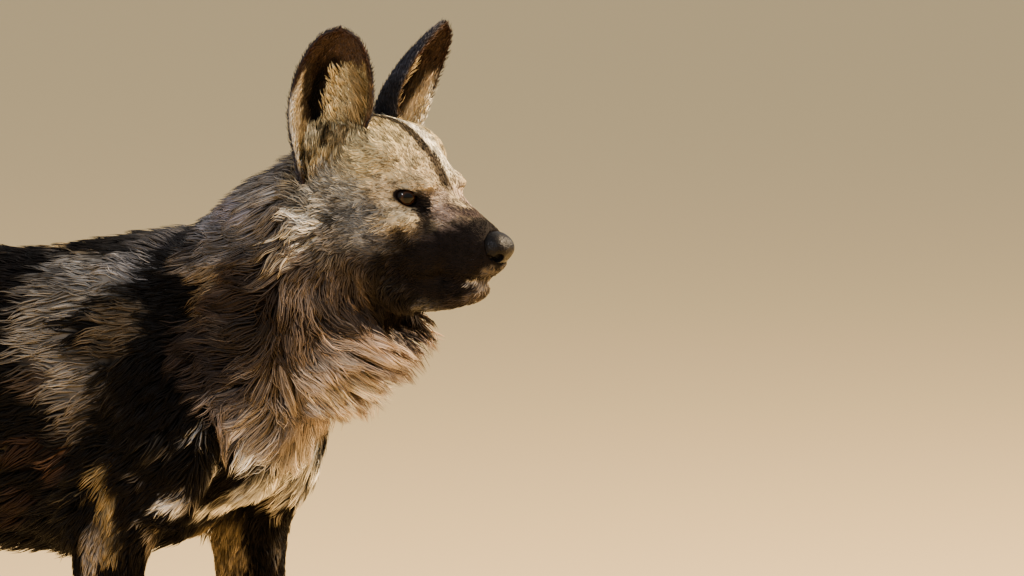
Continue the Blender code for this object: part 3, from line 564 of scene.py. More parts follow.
def press(obj, place, radius, move):
    """Moves the points of obj near a place, most in its middle: one stroke of a thumb."""
    place, move = Vector(place), Vector(move)
    for vert in obj.data.vertices:
        far = (vert.co - place).length / radius
        if far < 1:
            vert.co += move * (1 - far * far) ** 2


# Ears

EAR_SKIN = 0.0026  # thickness of the ear's leaf under its fur
EAR_SHAPE = [
    # share of the height, half width measured over the curve, half angle of the cup in degrees
    (-0.12, 0.036, 138),
    (0.0, 0.046, 130),
    (0.15, 0.0500, 106),
    (0.35, 0.0495, 78),
    (0.55, 0.0440, 66),
    (0.75, 0.0345, 56),
    (0.90, 0.0235, 48),
    (0.975, 0.0130, 44),
    (1.0, 0.0050, 42),
]
EAR_SLUMP = 0.030  # how much lower the outer edge is rooted than the inner one
EAR_SET_BACK = 0.020


def ear_rows(sign, across=8, steps=1):
    """Points of the ear's leaf, row by row from the root to the tip, in the head frame."""
    root = Vector((EAR_ROOT.x, EAR_ROOT.y * sign, EAR_ROOT.z))
    rise = Vector((EAR_TIP.x, EAR_TIP.y * sign, EAR_TIP.z)) - root
    axis = rise.normalized()
    face = EAR_FACES[sign]
    face = (face - axis * face.dot(axis)).normalized()
    width = axis.cross(face)
    rows = []
    for share, half, angle in through(EAR_SHAPE, steps):
        turn = math.radians(angle)
        radius = half / turn
        belly = 0.010 * math.sin(math.pi * min(1.0, max(0.0, share)))
        middle = root + rise * share - face * (EAR_SET_BACK * (1 - share) + belly)
        row = []
        for k in range(across + 1):
            v = 2 * k / across - 1
            slump = EAR_SLUMP * max(0.0, v * sign) * (1 - share) ** 3
            bend = width * math.sin(v * turn) + face * (1 - math.cos(v * turn))
            row.append(middle + bend * radius - axis * slump)
        rows.append(row)
    return rows


def ear_shell(name, sign):
    """A cupped leaf of even thickness, closed all round."""
    bm = bmesh.new()
    grid = [[bm.verts.new(point) for point in row] for row in ear_rows(sign, 24, 4)]
    for low, high in zip(grid, grid[1:]):
        for k in range(len(low) - 1):
            bm.faces.new((low[k], low[k + 1], high[k + 1], high[k]))
    ear = object_from(name, bm)
    solid = ear.modifiers.new("Solidify", "SOLIDIFY")
    solid.thickness = EAR_SKIN
    solid.offset = 0.0
    settle(ear)
    return placed_in_head(ear)


def tree_of(*objects):
    """A search tree over the faces of the objects."""
    verts = []
    faces = []
    for obj in objects:
        first = len(verts)
        verts += [vert.co.copy() for vert in obj.data.vertices]
        faces += [[first + v for v in face.vertices] for face in obj.data.polygons]
    return BVHTree.FromPolygons(verts, faces)


# Head details


def eye_frame(sign):
    """Across the eye from its inner to its outer corner, up the lids, and the way it looks, as columns."""
    aim = Vector((EYE_AIM.x, EYE_AIM.y * sign, EYE_AIM.z))
    along = Vector((0, 0, 1)).cross(aim).normalized() * sign
    along = (along + Vector((0, 0, EYE_SLANT))).normalized()
    along = (along - aim * along.dot(aim)).normalized()
    up = aim.cross(along) * sign
    return Matrix((along, up, aim)).transposed()


def eye_place(sign):
    return Vector((EYE_PLACE.x, EYE_PLACE.y * sign, EYE_PLACE.z))


def eyeball(name, sign, radius, turn=Matrix.Identity(3), detail=4):
    return placed_in_head(blob(name, eye_place(sign), (radius,) * 3, turn, detail))


def lid_opening(sign):
    """A flat almond that cuts the opening between the lids."""
    aim = eye_frame(sign).col[2]
    return placed_in_head(blob("opening", eye_place(sign) + aim * EYE_RADIUS, OPENING, eye_frame(sign), 4))


def mouth_groove(tree):
    """A thin channel along the line of the mouth, sunk in the lips."""
    half = [in_head(*point) for point in MOUTH_LINE]
    far = [in_head(x, -y, z) for x, y, z in reversed(MOUTH_LINE[:-1])]
    path = []
    outs = []
    for point in [*half, *far]:
        foot, out, _, _ = tree.find_nearest(point)
        path.append(foot + out * MOUTH_RAISE)
        outs.append(out)
    rings = []
    bm = bmesh.new()
    for i, point in enumerate(path):
        tangent = (path[min(i + 1, len(path) - 1)] - path[max(i - 1, 0)]).normalized()
        out = (outs[i] - tangent * outs[i].dot(tangent)).normalized()
        high = tangent.cross(out) * MOUTH_HEIGHT
        deep = out * (MOUTH_DEPTH * (0.4 if i in (0, len(path) - 1) else 1.0))
        rings.append([bm.verts.new(point + step) for step in (deep, high * 0.8, -deep, -high * 0.8)])
    bm.faces.new(rings[0])
    bm.faces.new(rings[-1])
    for low, high in zip(rings, rings[1:]):
        for k in range(4):
            bm.faces.new((low[k], low[(k + 1) % 4], high[(k + 1) % 4], high[k]))
    bmesh.ops.triangulate(bm, faces=bm.faces)
    return object_from("mouth", bm)


NOSTRILS = {
    # the round holes of the nose and the slits behind them: turn in degrees, place of the left one, radii
    "nostril": (28, (0.0845, 0.0084, -0.0368), (0.0068, 0.0048, 0.0050)),
    "slit": (-62, (0.0800, 0.0152, -0.0380), (0.0080, 0.0042, 0.0026)),
}


def nostrils(detail):
    forms = []
    for sign in SIDES.values():
        for name, (degrees, (x, y, z), radii) in NOSTRILS.items():
            turn = Matrix.Rotation(sign * math.radians(degrees), 3, "Z")
            forms.append(placed_in_head(blob(name, (x, y * sign, z), radii, turn, detail)))
    return forms


EYE_PRESSES = [
    # from the front of the left eyeball: place, radius and depth
    (0.004, 0.004, -0.004, 0.020, 0.0035),
    (0.020, -0.006, -0.008, 0.018, 0.0030),
]
BROW_GROOVE = (0.004, 0, 0.018)
BROW_WAY = Vector((-0.6, 0, -0.8))


def shape_face(head):
    """Presses the eye sockets, the hollow before each eye and the groove of the brow into the raw head."""
    for sign in SIDES.values():
        aim = eye_frame(sign).col[2]
        front = eye_place(sign) + aim * EYE_RADIUS
        for x, y, z, radius, depth in EYE_PRESSES:
            spot = in_head(*(front + Vector((x, y * sign, z))))
            press(head, spot, radius, head_way(aim) * -depth)
    press(head, in_head(*BROW_GROOVE), 0.020, head_way(BROW_WAY) * 0.0020)


# The skin

SKIN_VOXEL = 0.0027
SKIN_TRIANGLES = 165000
COAT_DEPTHS = {
    # how far the skin lies under the solids; the core is the neck and the tail, whose locks stand over it
    "body": 0.0055,
    "leg": 0.0024,
    "foot": 0.0010,
    "sole": 0.0,
    "head": 0.0028,
    "muzzle": 0.0016,
    "core": 0.0030,
}


def steps_between(values, low, high):
    """0 below low, 1 above high and smooth between, for an array."""
    t = np.clip((values - low) / (high - low), 0.0, 1.0)
    return t * t * (3 - 2 * t)


def band(values, start, full, fade, end):
    """1 from full to fade, 0 before start and after end, and smooth between."""
    return steps_between(values, start, full) * (1 - steps_between(values, fade, end))


def vectors_of(mesh, name):
    """The points of a mesh ("co") or their normals ("normal") as an array."""
    flat = np.empty(len(mesh.vertices) * 3, np.float32)
    mesh.vertices.foreach_get(name, flat)
    return flat.reshape(-1, 3).astype(np.float64)


HEAD_BACK = np.array(HEAD.inverted())


def into_head(points):
    """Points of the model in the head frame."""
    return points @ HEAD_BACK[:3, :3].T + HEAD_BACK[:3, 3]


def coat_depth(points):
    """How far the skin lies under the outside of the solids."""
    x, _, z = points.T
    ahead = into_head(points)[:, 0]
    depth = np.full(len(points), COAT_DEPTHS["body"])
    changes = (
        # what part, the measure along which the depth changes to that part's, and from where to where
        ("leg", -z, -0.46, -0.38),
        ("foot", -z, -0.16, -0.08),
        ("sole", -z, -0.012, -0.004),
        ("core", x * 0.79 + z * 0.61, 0.56, 0.60),
        ("core", -x, 0.478, 0.490),
        ("head", ahead, -0.11, -0.07),
        ("muzzle", ahead, 0.0, 0.04),
    )
    for part, along, low, high in changes:
        depth += (COAT_DEPTHS[part] - depth) * steps_between(along, low, high)
    return depth


def make_skin():
    flesh = fused("skin", body_forms() + head_forms(), SKIN_VOXEL, 10)
    shape_face(flesh)
    points = vectors_of(flesh.data, "co")
    points -= vectors_of(flesh.data, "normal") * coat_depth(points)[:, None]
    flesh.data.vertices.foreach_set("co", points.astype(np.float32).ravel())
    flesh.data.update()
    decimated(flesh, SKIN_TRIANGLES)
    sliced(flesh, (0, 0, 0), (0, 0, 1))
    signs = list(SIDES.values())
    groove = mouth_groove(tree_of(flesh))
    turn = Matrix.Rotation(LID_TURN, 3, "X")
    lids = [eyeball("lids", sign, EYE_RADIUS + LID, turn, 4) for sign in signs]
    ears = [ear_shell(f"ear_{side}", sign) for side, sign in SIDES.items()]
    boolean(flesh, "UNION", *lids, *ears, solver="MANIFOLD")
    nose_seat = placed_in_head(loft("nose_seat", NOSE, steps=3, sides=32, boxy=2.4))
    for cutter in (groove, swollen(nose_seat, GAP)):
        boolean(flesh, "DIFFERENCE", cutter, solver="MANIFOLD")
    remove(nose_seat)
    for sign in signs:
        boolean(flesh, "DIFFERENCE", lid_opening(sign), solver="MANIFOLD")
        boolean(flesh, "DIFFERENCE", eyeball("socket", sign, EYE_RADIUS + GAP, detail=4), solver="MANIFOLD")
    largest_shell(flesh)
    flesh.data.shade_smooth()
    return flesh


# What is seen from the right and a little ahead, where most places were judged

VIEW_TURN = math.radians(38)
VIEW_RISE = math.radians(4)
VIEW_RIGHT = Vector((math.cos(VIEW_TURN), math.sin(VIEW_TURN), 0))
VIEW_BACK = Vector(
    (
        math.sin(VIEW_TURN) * math.cos(VIEW_RISE),
        -math.cos(VIEW_TURN) * math.cos(VIEW_RISE),
        math.sin(VIEW_RISE),
    )
)
VIEW_UP = VIEW_BACK.cross(VIEW_RIGHT)
NECK_MIDDLE = Vector((0.32, 0.0, 0.64))
LEAST_FACING = 0.15  # a surface that turns further away than this gives no slope
MOST_SLOPE = 1.5


def seen(tree, across, up):
    """The place on the skin, and its normal, this many millimetres right of the eyes and over them."""
    start = HEAD_PLACE + VIEW_RIGHT * (across / 1000) + VIEW_UP * (up / 1000) + VIEW_BACK * 2
    place, out, _, _ = tree.ray_cast(start, -VIEW_BACK)
    if place is None:
        beside = start + VIEW_BACK * (NECK_MIDDLE - start).dot(VIEW_BACK)
        place, out, _, _ = tree.find_nearest(beside)
    return place, out


def seen_way(out, across, up):
    """The way along a surface that looks like this way in the view."""
    way = VIEW_RIGHT * across + VIEW_UP * up
    facing = VIEW_BACK.dot(out)
    if facing > LEAST_FACING:
        way -= VIEW_BACK * max(-MOST_SLOPE, min(MOST_SLOPE, way.dot(out) / facing))
    return way.normalized()


# Markings: the colour of skin and coat as a function of place


def linear(hex_colour):
    """An sRGB hex colour as linear red, green and blue."""
    parts = [int(hex_colour[k : k + 2], 16) / 255 for k in (0, 2, 4)]
    return [c / 12.92 if c <= 0.04045 else ((c + 0.055) / 1.055) ** 2.4 for c in parts]


def blend(colours, paint, weights):
    """Draws the colours towards a hex colour, each by its own weight."""
    colours += (np.array(linear(paint)) - colours) * weights[:, None]


def paint_points(mesh, colours):
    """Stores linear colours of the mesh's points where the materials of skin and coat read them."""
    rgba = np.concatenate([colours, np.ones((*colours.shape[:-1], 1))], axis=-1)
    layer = mesh.color_attributes.new("coat", "FLOAT_COLOR", "POINT")
    layer.data.foreach_set("color", rgba.astype(np.float32).ravel())


def lattice(cells, seed):
    """Even random numbers for whole-number places, 0 to 1."""
    x, y, z = (cells[:, k].astype(np.int64) for k in range(3))
    mixed = (x * 73856093) ^ (y * 19349663) ^ (z * 83492791) ^ (seed * 2654435761)
    mixed = (mixed ^ (mixed >> 13)) * 1274126177
    return ((mixed ^ (mixed >> 16)) & 65535) / 65535.0


def noise(points, size, seed=0):
    """Smooth noise with blotches of about this size, -1 to 1."""
    scaled = points / size
    cell = np.floor(scaled)
    t = scaled - cell
    t = t * t * (3 - 2 * t)
    total = np.zeros(len(points))
    for corner in range(8):
        step = np.array([corner & 1, corner >> 1 & 1, corner >> 2 & 1])
        weight = np.prod(np.where(step, t, 1 - t), axis=1)
        total += weight * lattice(cell + step, seed)
    return total * 2 - 1


def noise_way(points, size, seed):
    return np.stack([noise(points, size, seed + k) for k in range(3)], axis=1)


MARKINGS = [
    # millimetres right of the eyes and over them in the view, reach across and up, colour, strength
    # back and flank
    (-360, -47, 26, 4, "b59f75", 0.7),
    (-327, -47, 23, 4, "a89068", 0.6),
    (-297, -52, 12, 4, "8d7a5a", 0.5),
    (-294, -61, 39, 11, "928b82", 0.75),
    (-304, -75, 33, 18, "89847e", 0.8),
    (-275, -66, 23, 16, "827d7b", 0.8),
    (-338, -80, 25, 14, "5f5b56", 0.6),
    (-347, -119, 26, 35, "8b8378", 0.75),
    (-326, -152, 25, 32, "827a70", 0.75),
    (-319, -184, 16, 23, "74695c", 0.6),
    (-359, -168, 14, 19, "5f5145", 0.55),
    (-268, -117, 28, 23, "5c5142", 0.7),
    (-280, -140, 19, 18, "54493a", 0.6),
    (-347, -228, 32, 12, "33241b", 0.8),
    (-334, -225, 7, 4, "7a5a42", 0.6),
    (-364, -270, 19, 12, "2a1d17", 0.7),
    (-283, -175, 8, 4, "6a6560", 0.6),
    (-262, -200, 9, 4, "7d7a78", 0.6),
    (-244, -206, 8, 4, "a09684", 0.75),
    (-234, -216, 7, 4, "9c9282", 0.7),
    (-218, -200, 8, 6, "b4b2b0", 0.9),
    (-209, -209, 5, 4, "8d8a86", 0.8),
    (-260, -241, 7, 3, "77716b", 0.5),
    # shoulder
    (-231, -68, 18, 21, "0c0a0a", 0.9),
    (-213, -47, 23, 12, "171416", 0.9),
    (-225, -121, 25, 53, "050404", 0.97),
    (-250, -169, 35, 32, "060505", 0.97),
    (-272, -217, 53, 23, "060505", 0.9),
    (-202, -178, 14, 35, "070606", 0.9),
    (-195, -210, 21, 14, "070606", 0.95),
    (-236, -276, 13, 11, "dcd8d3", 1.0),
    (-243, -284, 11, 5, "c9c4bd", 1.0),
    (-224, -267, 11, 7, "a49a8c", 0.85),
    (-213, -258, 7, 5, "8c8479", 0.8),
    (-198, -232, 7, 7, "b9b4ae", 0.95),
    (-206, -244, 4, 4, "6e6862", 0.8),
    # chest
    (-178, -263, 8, 5, "9c9278", 0.75),
    (-165, -256, 11, 7, "b9ae92", 0.8),
    (-150, -249, 11, 6, "c4b99d", 0.8),
    (-113, -219, 19, 10, "fbf6ea", 0.95),
    (-116, -237, 21, 13, "fbf6ea", 1.0),
    (-102, -221, 14, 11, "faf5ea", 1.0),
    (-192, -238, 8, 6, "cfcac4", 0.95),
    (-132, -256, 7, 11, "ddd3bd", 0.85),
    (-119, -261, 5, 14, "f0e8d8", 0.9),
    (-155, -237, 14, 7, "0b0908", 0.9),
    (-144, -270, 7, 11, "a89c84", 0.7),
    (-155, -270, 7, 7, "0f0c0b", 0.9),
    (-139, -244, 4, 9, "2a221c", 0.6),
    # foreleg
    (-300, -270, 11, 23, "8d7b57", 0.85),
    (-293, -298, 15, 23, "7d6e52", 0.8),
    (-312, -309, 12, 23, "8d8276", 0.85),
    (-276, -297, 12, 35, "0f0c0b", 0.9),
    (-194, -312, 11, 26, "7f6f52", 0.8),
    (-183, -325, 10, 16, "8c7b60", 0.75),
    (-120, -277, 9, 25, "f6f0e2", 1.0),
    (-127, -312, 7, 19, "eae2d2", 0.9),
    (-151, -319, 7, 11, "7f766a", 0.6),
    (-164, -297, 14, 35, "0f0c0b", 0.85),
    (-132, -290, 5, 9, "1a1512", 0.6),
    (-250, -316, 5, 9, "8d806c", 0.6),
    (-266, -288, 4, 5, "77716b", 0.6),
    # nape and neck
    (-166, -4, 28, 18, "75717a", 0.9),
    (-193, -26, 23, 11, "6b686c", 0.85),
    (-140, 10, 18, 18, "7d7874", 0.9),
    (-178, -61, 18, 14, "6e5f4a", 0.85),
    (-201, -61, 12, 11, "7d746c", 0.8),
    (-192, -87, 12, 16, "63543f", 0.8),
    (-172, -94, 18, 18, "2a211b", 0.9),
    (-151, -70, 12, 18, "33281f", 0.85),
    (-133, -66, 6, 21, "191311", 0.85),
    (-143, -112, 18, 14, "2a211b", 0.8),
    (-187, -134, 23, 26, "2b2421", 0.9),
    (-151, -145, 21, 19, "2e2826", 0.85),
    (-162, -125, 12, 11, "403830", 0.6),
    (-155, -187, 26, 19, "877a70", 0.7),
    (-121, -180, 26, 25, "8f8273", 0.7),
    (-151, -205, 26, 8, "a89b8e", 0.75),
    (-178, -184, 11, 16, "564a40", 0.6),
    (-140, -196, 11, 8, "b9ac9c", 0.6),
    (-164, -180, 8, 7, "6a5b4e", 0.6),
    (-109, -175, 7, 12, "5f5044", 0.6),
    (-105, -94, 12, 14, "1c1613", 0.9),
    (-99, -124, 9, 19, "2b211b", 0.85),
    (-118, -134, 11, 16, "463b33", 0.75),
    (-118, -94, 9, 14, "6a5d53", 0.8),
    # throat
    (-65, -149, 32, 25, "a08e7b", 0.8),
    (-34, -134, 25, 18, "b5a28d", 0.85),
    (-9, -122, 19, 14, "bda58c", 0.9),
    (-78, -177, 18, 12, "a48a70", 0.8),
    (-88, -140, 12, 9, "7d6a58", 0.6),
    (-56, -129, 9, 5, "6b5848", 0.6),
    (-72, -163, 7, 6, "75614f", 0.6),
    (-40, -180, 18, 8, "e6d8bc", 0.95),
    (-55, -107, 19, 9, "120e0c", 0.95),
    (-78, -94, 22, 11, "241d19", 0.9),
    (-40, -92, 30, 13, "120e0c", 0.95),
    (-21, -114, 18, 8, "bba288", 0.9),
    (-7, -119, 12, 8, "bba288", 0.9),
    (-65, -121, 14, 7, "4a3a2f", 0.8),
    (-92, -169, 12, 7, "b59a80", 0.7),
    (-21, -140, 9, 4, "d0b896", 0.7),
    (-74, -140, 7, 4, "c0a084", 0.6),
    # cheek
    (-109, -70, 18, 11, "6f6359", 0.8),
    (-87, -85, 18, 8, "3f3630", 0.85),
    (-106, -24, 13, 5, "f2ead9", 0.95),
    (-117, -33, 6, 4, "dcd2bd", 0.9),
    (-107, -38, 6, 4, "e8dfcd", 0.85),
    (-115, -50, 7, 4, "bdb2a0", 0.75),
    (-97, -34, 7, 4, "4f4943", 0.7),
    (-70, -19, 26, 19, "676561", 0.85),
    (-78, 4, 21, 14, "88847a", 0.85),
    (-48, -45, 16, 11, "4a4744", 0.9),
    (-65, -40, 8, 7, "8b8780", 0.6),
    (-32, -34, 6, 7, "2c2826", 0.7),
    (-83, -10, 7, 5, "5d574e", 0.6),
    (-55, -6, 8, 5, "6b665e", 0.6),
    (-99, -11, 12, 12, "a29a8a", 0.9),
    (-40, -66, 30, 15, "15110f", 0.95),
    (-72, -61, 21, 12, "3f3833", 0.85),
    (-92, -41, 12, 12, "6d665d", 0.7),
    # face
    (5, -4, 12, 9, "ab9884", 0.95),
    (11, -18, 11, 9, "8e7b72", 0.85),
    (-4, -17, 9, 7, "7c6c60", 0.8),
    (16, -52, 40, 25, "120e0d", 1.0),
    (-12, -64, 26, 21, "120e0d", 1.0),
    (33, -36, 21, 11, "191412", 0.95),
    (33, -18, 11, 5, "3b302c", 0.9),
    (-26, -41, 12, 9, "1c1715", 0.9),
    (5, -82, 30, 11, "120e0d", 1.0),
    (18, -11, 6, 4, "4a3d38", 0.7),
    (25, 4, 5, 4, "3a2d20", 0.7),
    (11, -32, 8, 4, "6d6058", 0.55),
    (-4, -39, 5, 4, "3a322e", 0.6),
    (26, -26, 6, 4, "57493f", 0.5),
    (-18, -37, 7, 4, "5d554d", 0.5),
    (5, -26, 4, 4, "b3a08e", 0.5),
    (-33, -21, 12, 7, "ac9f84", 0.9),
    (-7, -20, 6, 15, "17120f", 0.9),
    (-11, -31, 5, 11, "2a231f", 0.7),
    (-46, -26, 9, 7, "8f8676", 0.85),
    (-21, -23, 7, 4, "a89878", 0.8),
    (-23, -3, 14, 8, "0b0808", 0.97),
    (-9, -8, 9, 10, "0b0808", 0.97),
    (-22, 11, 4, 3, "2e2620", 0.9),
    (-34, 8, 4, 3, "5a4f40", 0.6),
    (49, -68, 7, 4, "6f675f", 0.55),
    (40, -77, 8, 5, "7d756c", 0.5),
    (48, -77, 4, 3, "cfc8be", 0.55),
    (35, -92, 8, 4, "5b524b", 0.55),
    (42, -85, 5, 3, "7d746b", 0.5),
    (-56, 38, 26, 21, "b8a880", 0.85),
    (-28, 29, 21, 18, "b09e78", 0.9),
    (-33, 52, 18, 11, "b5a47a", 0.85),
    (-12, 15, 14, 8, "b4a07c", 0.85),
    (-74, 18, 11, 9, "9c8f72", 0.8),
    (-106, 38, 4, 19, "0e0b0a", 0.9),
    (-125, 27, 4, 11, "110d0c", 0.9),
    (-114, 17, 11, 4, "110d0c", 0.95),
    (-115, 36, 4, 11, "e8d4a8", 0.95),
    (-92, 38, 14, 11, "7d6b4c", 0.85),
    (-72, 61, 12, 12, "a08c66", 0.8),
    (-95, 57, 7, 11, "c9b88f", 0.8),
]
HIDDEN_MARKINGS = [
    # places that the species shows behind the shoulder, on both sides
    (-0.02, -0.10, 0.64, 0.045, 0.026, "a58a5c", 0.9),
    (-0.06, -0.10, 0.56, 0.035, 0.045, "8f7448", 0.85),
    (-0.13, -0.09, 0.63, 0.040, 0.022, "b39a6a", 0.8),
    (0.03, -0.10, 0.50, 0.030, 0.026, "7c6744", 0.8),
    (-0.11, -0.09, 0.50, 0.026, 0.020, "d6cfc2", 0.9),
    (-0.19, -0.09, 0.57, 0.032, 0.040, "9c8050", 0.85),
    (-0.24, -0.08, 0.66, 0.034, 0.020, "a08757", 0.8),
    (-0.28, -0.10, 0.57, 0.030, 0.034, "c9bda4", 0.85),
    (-0.35, -0.10, 0.62, 0.040, 0.030, "8c7145", 0.85),
    (-0.40, -0.10, 0.55, 0.026, 0.040, "b59a68", 0.85),
    (-0.33, -0.11, 0.50, 0.030, 0.026, "7b6340", 0.8),
    (-0.29, -0.11, 0.43, 0.022, 0.036, "d9d2c6", 0.95),
    (-0.36, -0.11, 0.44, 0.024, 0.024, "a1834f", 0.85),
    (-0.34, -0.10, 0.36, 0.022, 0.030, "b2966a", 0.85),
    (-0.39, -0.10, 0.30, 0.018, 0.034, "cfc5b2", 0.9),
    (-0.42, -0.09, 0.24, 0.020, 0.022, "2a211b", 0.85),
    (-0.42, -0.09, 0.17, 0.022, 0.032, "d8cfbd", 0.9),
    (-0.45, -0.03, 0.61, 0.030, 0.026, "8a6e45", 0.8),
    (0.18, -0.11, 0.35, 0.016, 0.030, "2a211b", 0.8),
    (0.20, -0.09, 0.30, 0.014, 0.030, "d9d0bf", 0.9),
    (0.17, -0.09, 0.26, 0.014, 0.022, "8f744c", 0.8),
    (0.19, -0.10, 0.20, 0.020, 0.020, "2a211b", 0.75),
]
BLAZE = "241a11"  # the stripe down the middle of the forehead
BLAZE_EDGE = (0.0056, 0.0086)  # it fades between these distances from the middle
BLAZE_ALONG = (-0.095, -0.085, 0.016, 0.024)  # head frame: it starts, is full, fades and ends
BLAZE_LOWEST = -0.010
SUNLIT_FOREHEAD = "efe5cb"  # the left half of the forehead, beside the stripe: cream fur painted near white with painted sunlight
PALE_ALONG = (-0.080, -0.060, 0.000, 0.012)
PALE_ACROSS = (0.004, 0.008, 0.024, 0.034)
PALE_LOWEST = 0.005
HEAD_FROM = 0.37  # ahead of this the middle of the dog is the head's


def mirrored_place(place):
    """The same place on the dog's left side; the head looks a little to the left."""
    middle = HEAD_PLACE.y if place.x > HEAD_FROM else 0.0
    return Vector((place.x, 2 * middle - place.y, place.z))


def all_markings(tree):
    """Each marking as a centre, a matrix that turns it into a unit ball, a colour and a strength."""
    made = []
    for across, up, wide, high, paint, strength in MARKINGS:
        centre, _ = seen(tree, across, up)
        axes = Matrix((VIEW_RIGHT / wide, VIEW_UP / high, VIEW_BACK / (2.2 * max(wide, high)))) * 1000
        made.append((centre, axes, paint, strength))
    for x, y, z, along, high, paint, strength in HIDDEN_MARKINGS:
        axes = Matrix.Diagonal((1 / along, 1 / (1.6 * max(along, high)), 1 / high))
        made.append((Vector((x, y, z)), axes, paint, strength))
    flip = Matrix.Diagonal((1, -1, 1))
    for centre, axes, paint, strength in list(made):
        if centre.y > 0.02 and centre.x < HEAD_FROM:
            continue  # one on the far foreleg has no twin on the near one
        centre = mirrored_place(centre)
        if centre.x < 0.30:
            centre += Vector((-0.030, 0, 0.014 * math.sin(centre.x * 60)))
        made.append((centre, axes @ flip, paint, strength))
    return made


def coat_colour(points, base, markings):
    """Linear colours of the coat at the points, from each one's base colour and the markings over it."""
    colour = base.copy()
    on_head = steps_between(into_head(points)[:, 0], -0.10, -0.05)
    shifted = points + noise_way(points, 0.050, 3) * (0.017 - 0.0155 * on_head)[:, None]
    shifted += noise_way(points, 0.017, 7) * (0.0075 - 0.0060 * on_head)[:, None]
    for centre, axes, paint, strength in markings:
        far = np.linalg.norm((shifted - np.array(centre)) @ np.array(axes).T, axis=1)
        blend(colour, paint, strength * (1 - steps_between(far, 0.72, 1.28)))
    x, y, z = into_head(shifted).T
    blaze = 1 - steps_between(np.abs(y), *BLAZE_EDGE)
    blaze *= band(x, *BLAZE_ALONG) * (z > BLAZE_LOWEST)
    # painted sunlight: the left half of the forehead drawn towards near white
    pale = band(y, *PALE_ACROSS)
    pale *= band(x, *PALE_ALONG)
    pale *= z > PALE_LOWEST
    blend(colour, SUNLIT_FOREHEAD, 0.9 * pale)
    blend(colour, BLAZE, 0.92 * blaze)
    mottle = 0.14 * noise(points, 0.006, 21) + (0.10 + 0.16 * on_head) * noise(points, 0.0032, 22)
    return colour * (1 + mottle)[:, None]


# The lie and the kinds of hair

KINDS = {
    # length, width, least rise as a share of the length, spacing, how far tufts draw together, wave,
    # change of shade from tuft to tuft, how far the hair strays, base colour
    "muzzle": (0.0040, 0.0008, 0.08, 0.0018, 0.20, 0.0, 0.18, 0.10, "0c0a0a"),
    "chin": (0.0070, 0.0008, 0.16, 0.0019, 0.30, 0.0006, 0.75, 0.30, "231c19"),
    "face": (0.0056, 0.0010, 0.12, 0.0019, 0.50, 0.0006, 0.55, 0.34, "b3a182"),
    "crown": (0.0080, 0.0011, 0.15, 0.0020, 0.55, 0.0010, 0.55, 0.42, "b0a07c"),
    "ear_base": (0.0150, 0.0011, 0.22, 0.0020, 0.50, 0.0010, 0.45, 0.20, "97855f"),
    "cheek": (0.0095, 0.0011, 0.20, 0.0020, 0.60, 0.0014, 0.75, 0.48, "5c5a57"),
    "jowl": (0.0210, 0.0012, 0.26, 0.0023, 0.65, 0.0036, 0.50, 0.50, "51463d"),
    "wisp": (0.0170, 0.0013, 0.30, 0.0023, 0.65, 0.0046, 0.50, 0.60, "6c645b"),
    "ruff": (0.0430, 0.0014, 0.30, 0.0026, 0.72, 0.0060, 0.40, 0.55, "2d2826"),
    "throat": (0.0520, 0.0015, 0.52, 0.0027, 0.66, 0.0050, 0.36, 0.36, "7d7268"),
    "nape": (0.0320, 0.0014, 0.22, 0.0027, 0.62, 0.0030, 0.36, 0.32, "625e5d"),
    "shoulder": (0.0280, 0.0015, 0.14, 0.0032, 0.60, 0.0024, 0.26, 0.30, "070606"),
    "flank": (0.0280, 0.0018, 0.12, 0.0044, 0.60, 0.0024, 0.26, 0.26, "0a0807"),
    "back": (0.0280, 0.0018, 0.15, 0.0044, 0.60, 0.0020, 0.26, 0.22, "100c0b"),
    "belly": (0.0380, 0.0019, 0.36, 0.0042, 0.66, 0.0020, 0.20, 0.22, "0b0908"),
    "chest": (0.0230, 0.0014, 0.22, 0.0028, 0.60, 0.0020, 0.36, 0.34, "0d0a09"),
    "upper_leg": (0.0140, 0.0013, 0.12, 0.0027, 0.50, 0.0010, 0.32, 0.22, "0e0b0a"),
    "lower_leg": (0.0085, 0.0011, 0.10, 0.0026, 0.40, 0.0, 0.30, 0.16, "9a8b74"),
    "paw": (0.0065, 0.0010, 0.12, 0.0023, 0.35, 0.0, 0.24, 0.14, "c9bfae"),
    "thigh": (0.0220, 0.0016, 0.13, 0.0038, 0.50, 0.0014, 0.26, 0.22, "0f0c0a"),
    "shank": (0.0130, 0.0013, 0.12, 0.0029, 0.45, 0.0006, 0.28, 0.16, "3c2f25"),
    "tail_root": (0.0280, 0.0016, 0.20, 0.0031, 0.50, 0.0014, 0.28, 0.22, "6b5537"),
    "tail_black": (0.0500, 0.0017, 0.34, 0.0029, 0.55, 0.0026, 0.24, 0.24, "100c0b"),
    "tail_white": (0.0560, 0.0017, 0.36, 0.0027, 0.55, 0.0026, 0.18, 0.24, "e4ddcf"),
}
NAMES = list(KINDS)
NUMBERS = np.array([[*row[:8], *linear(row[8])] for row in KINDS.values()])
SPACING = 3  # the spacing's column
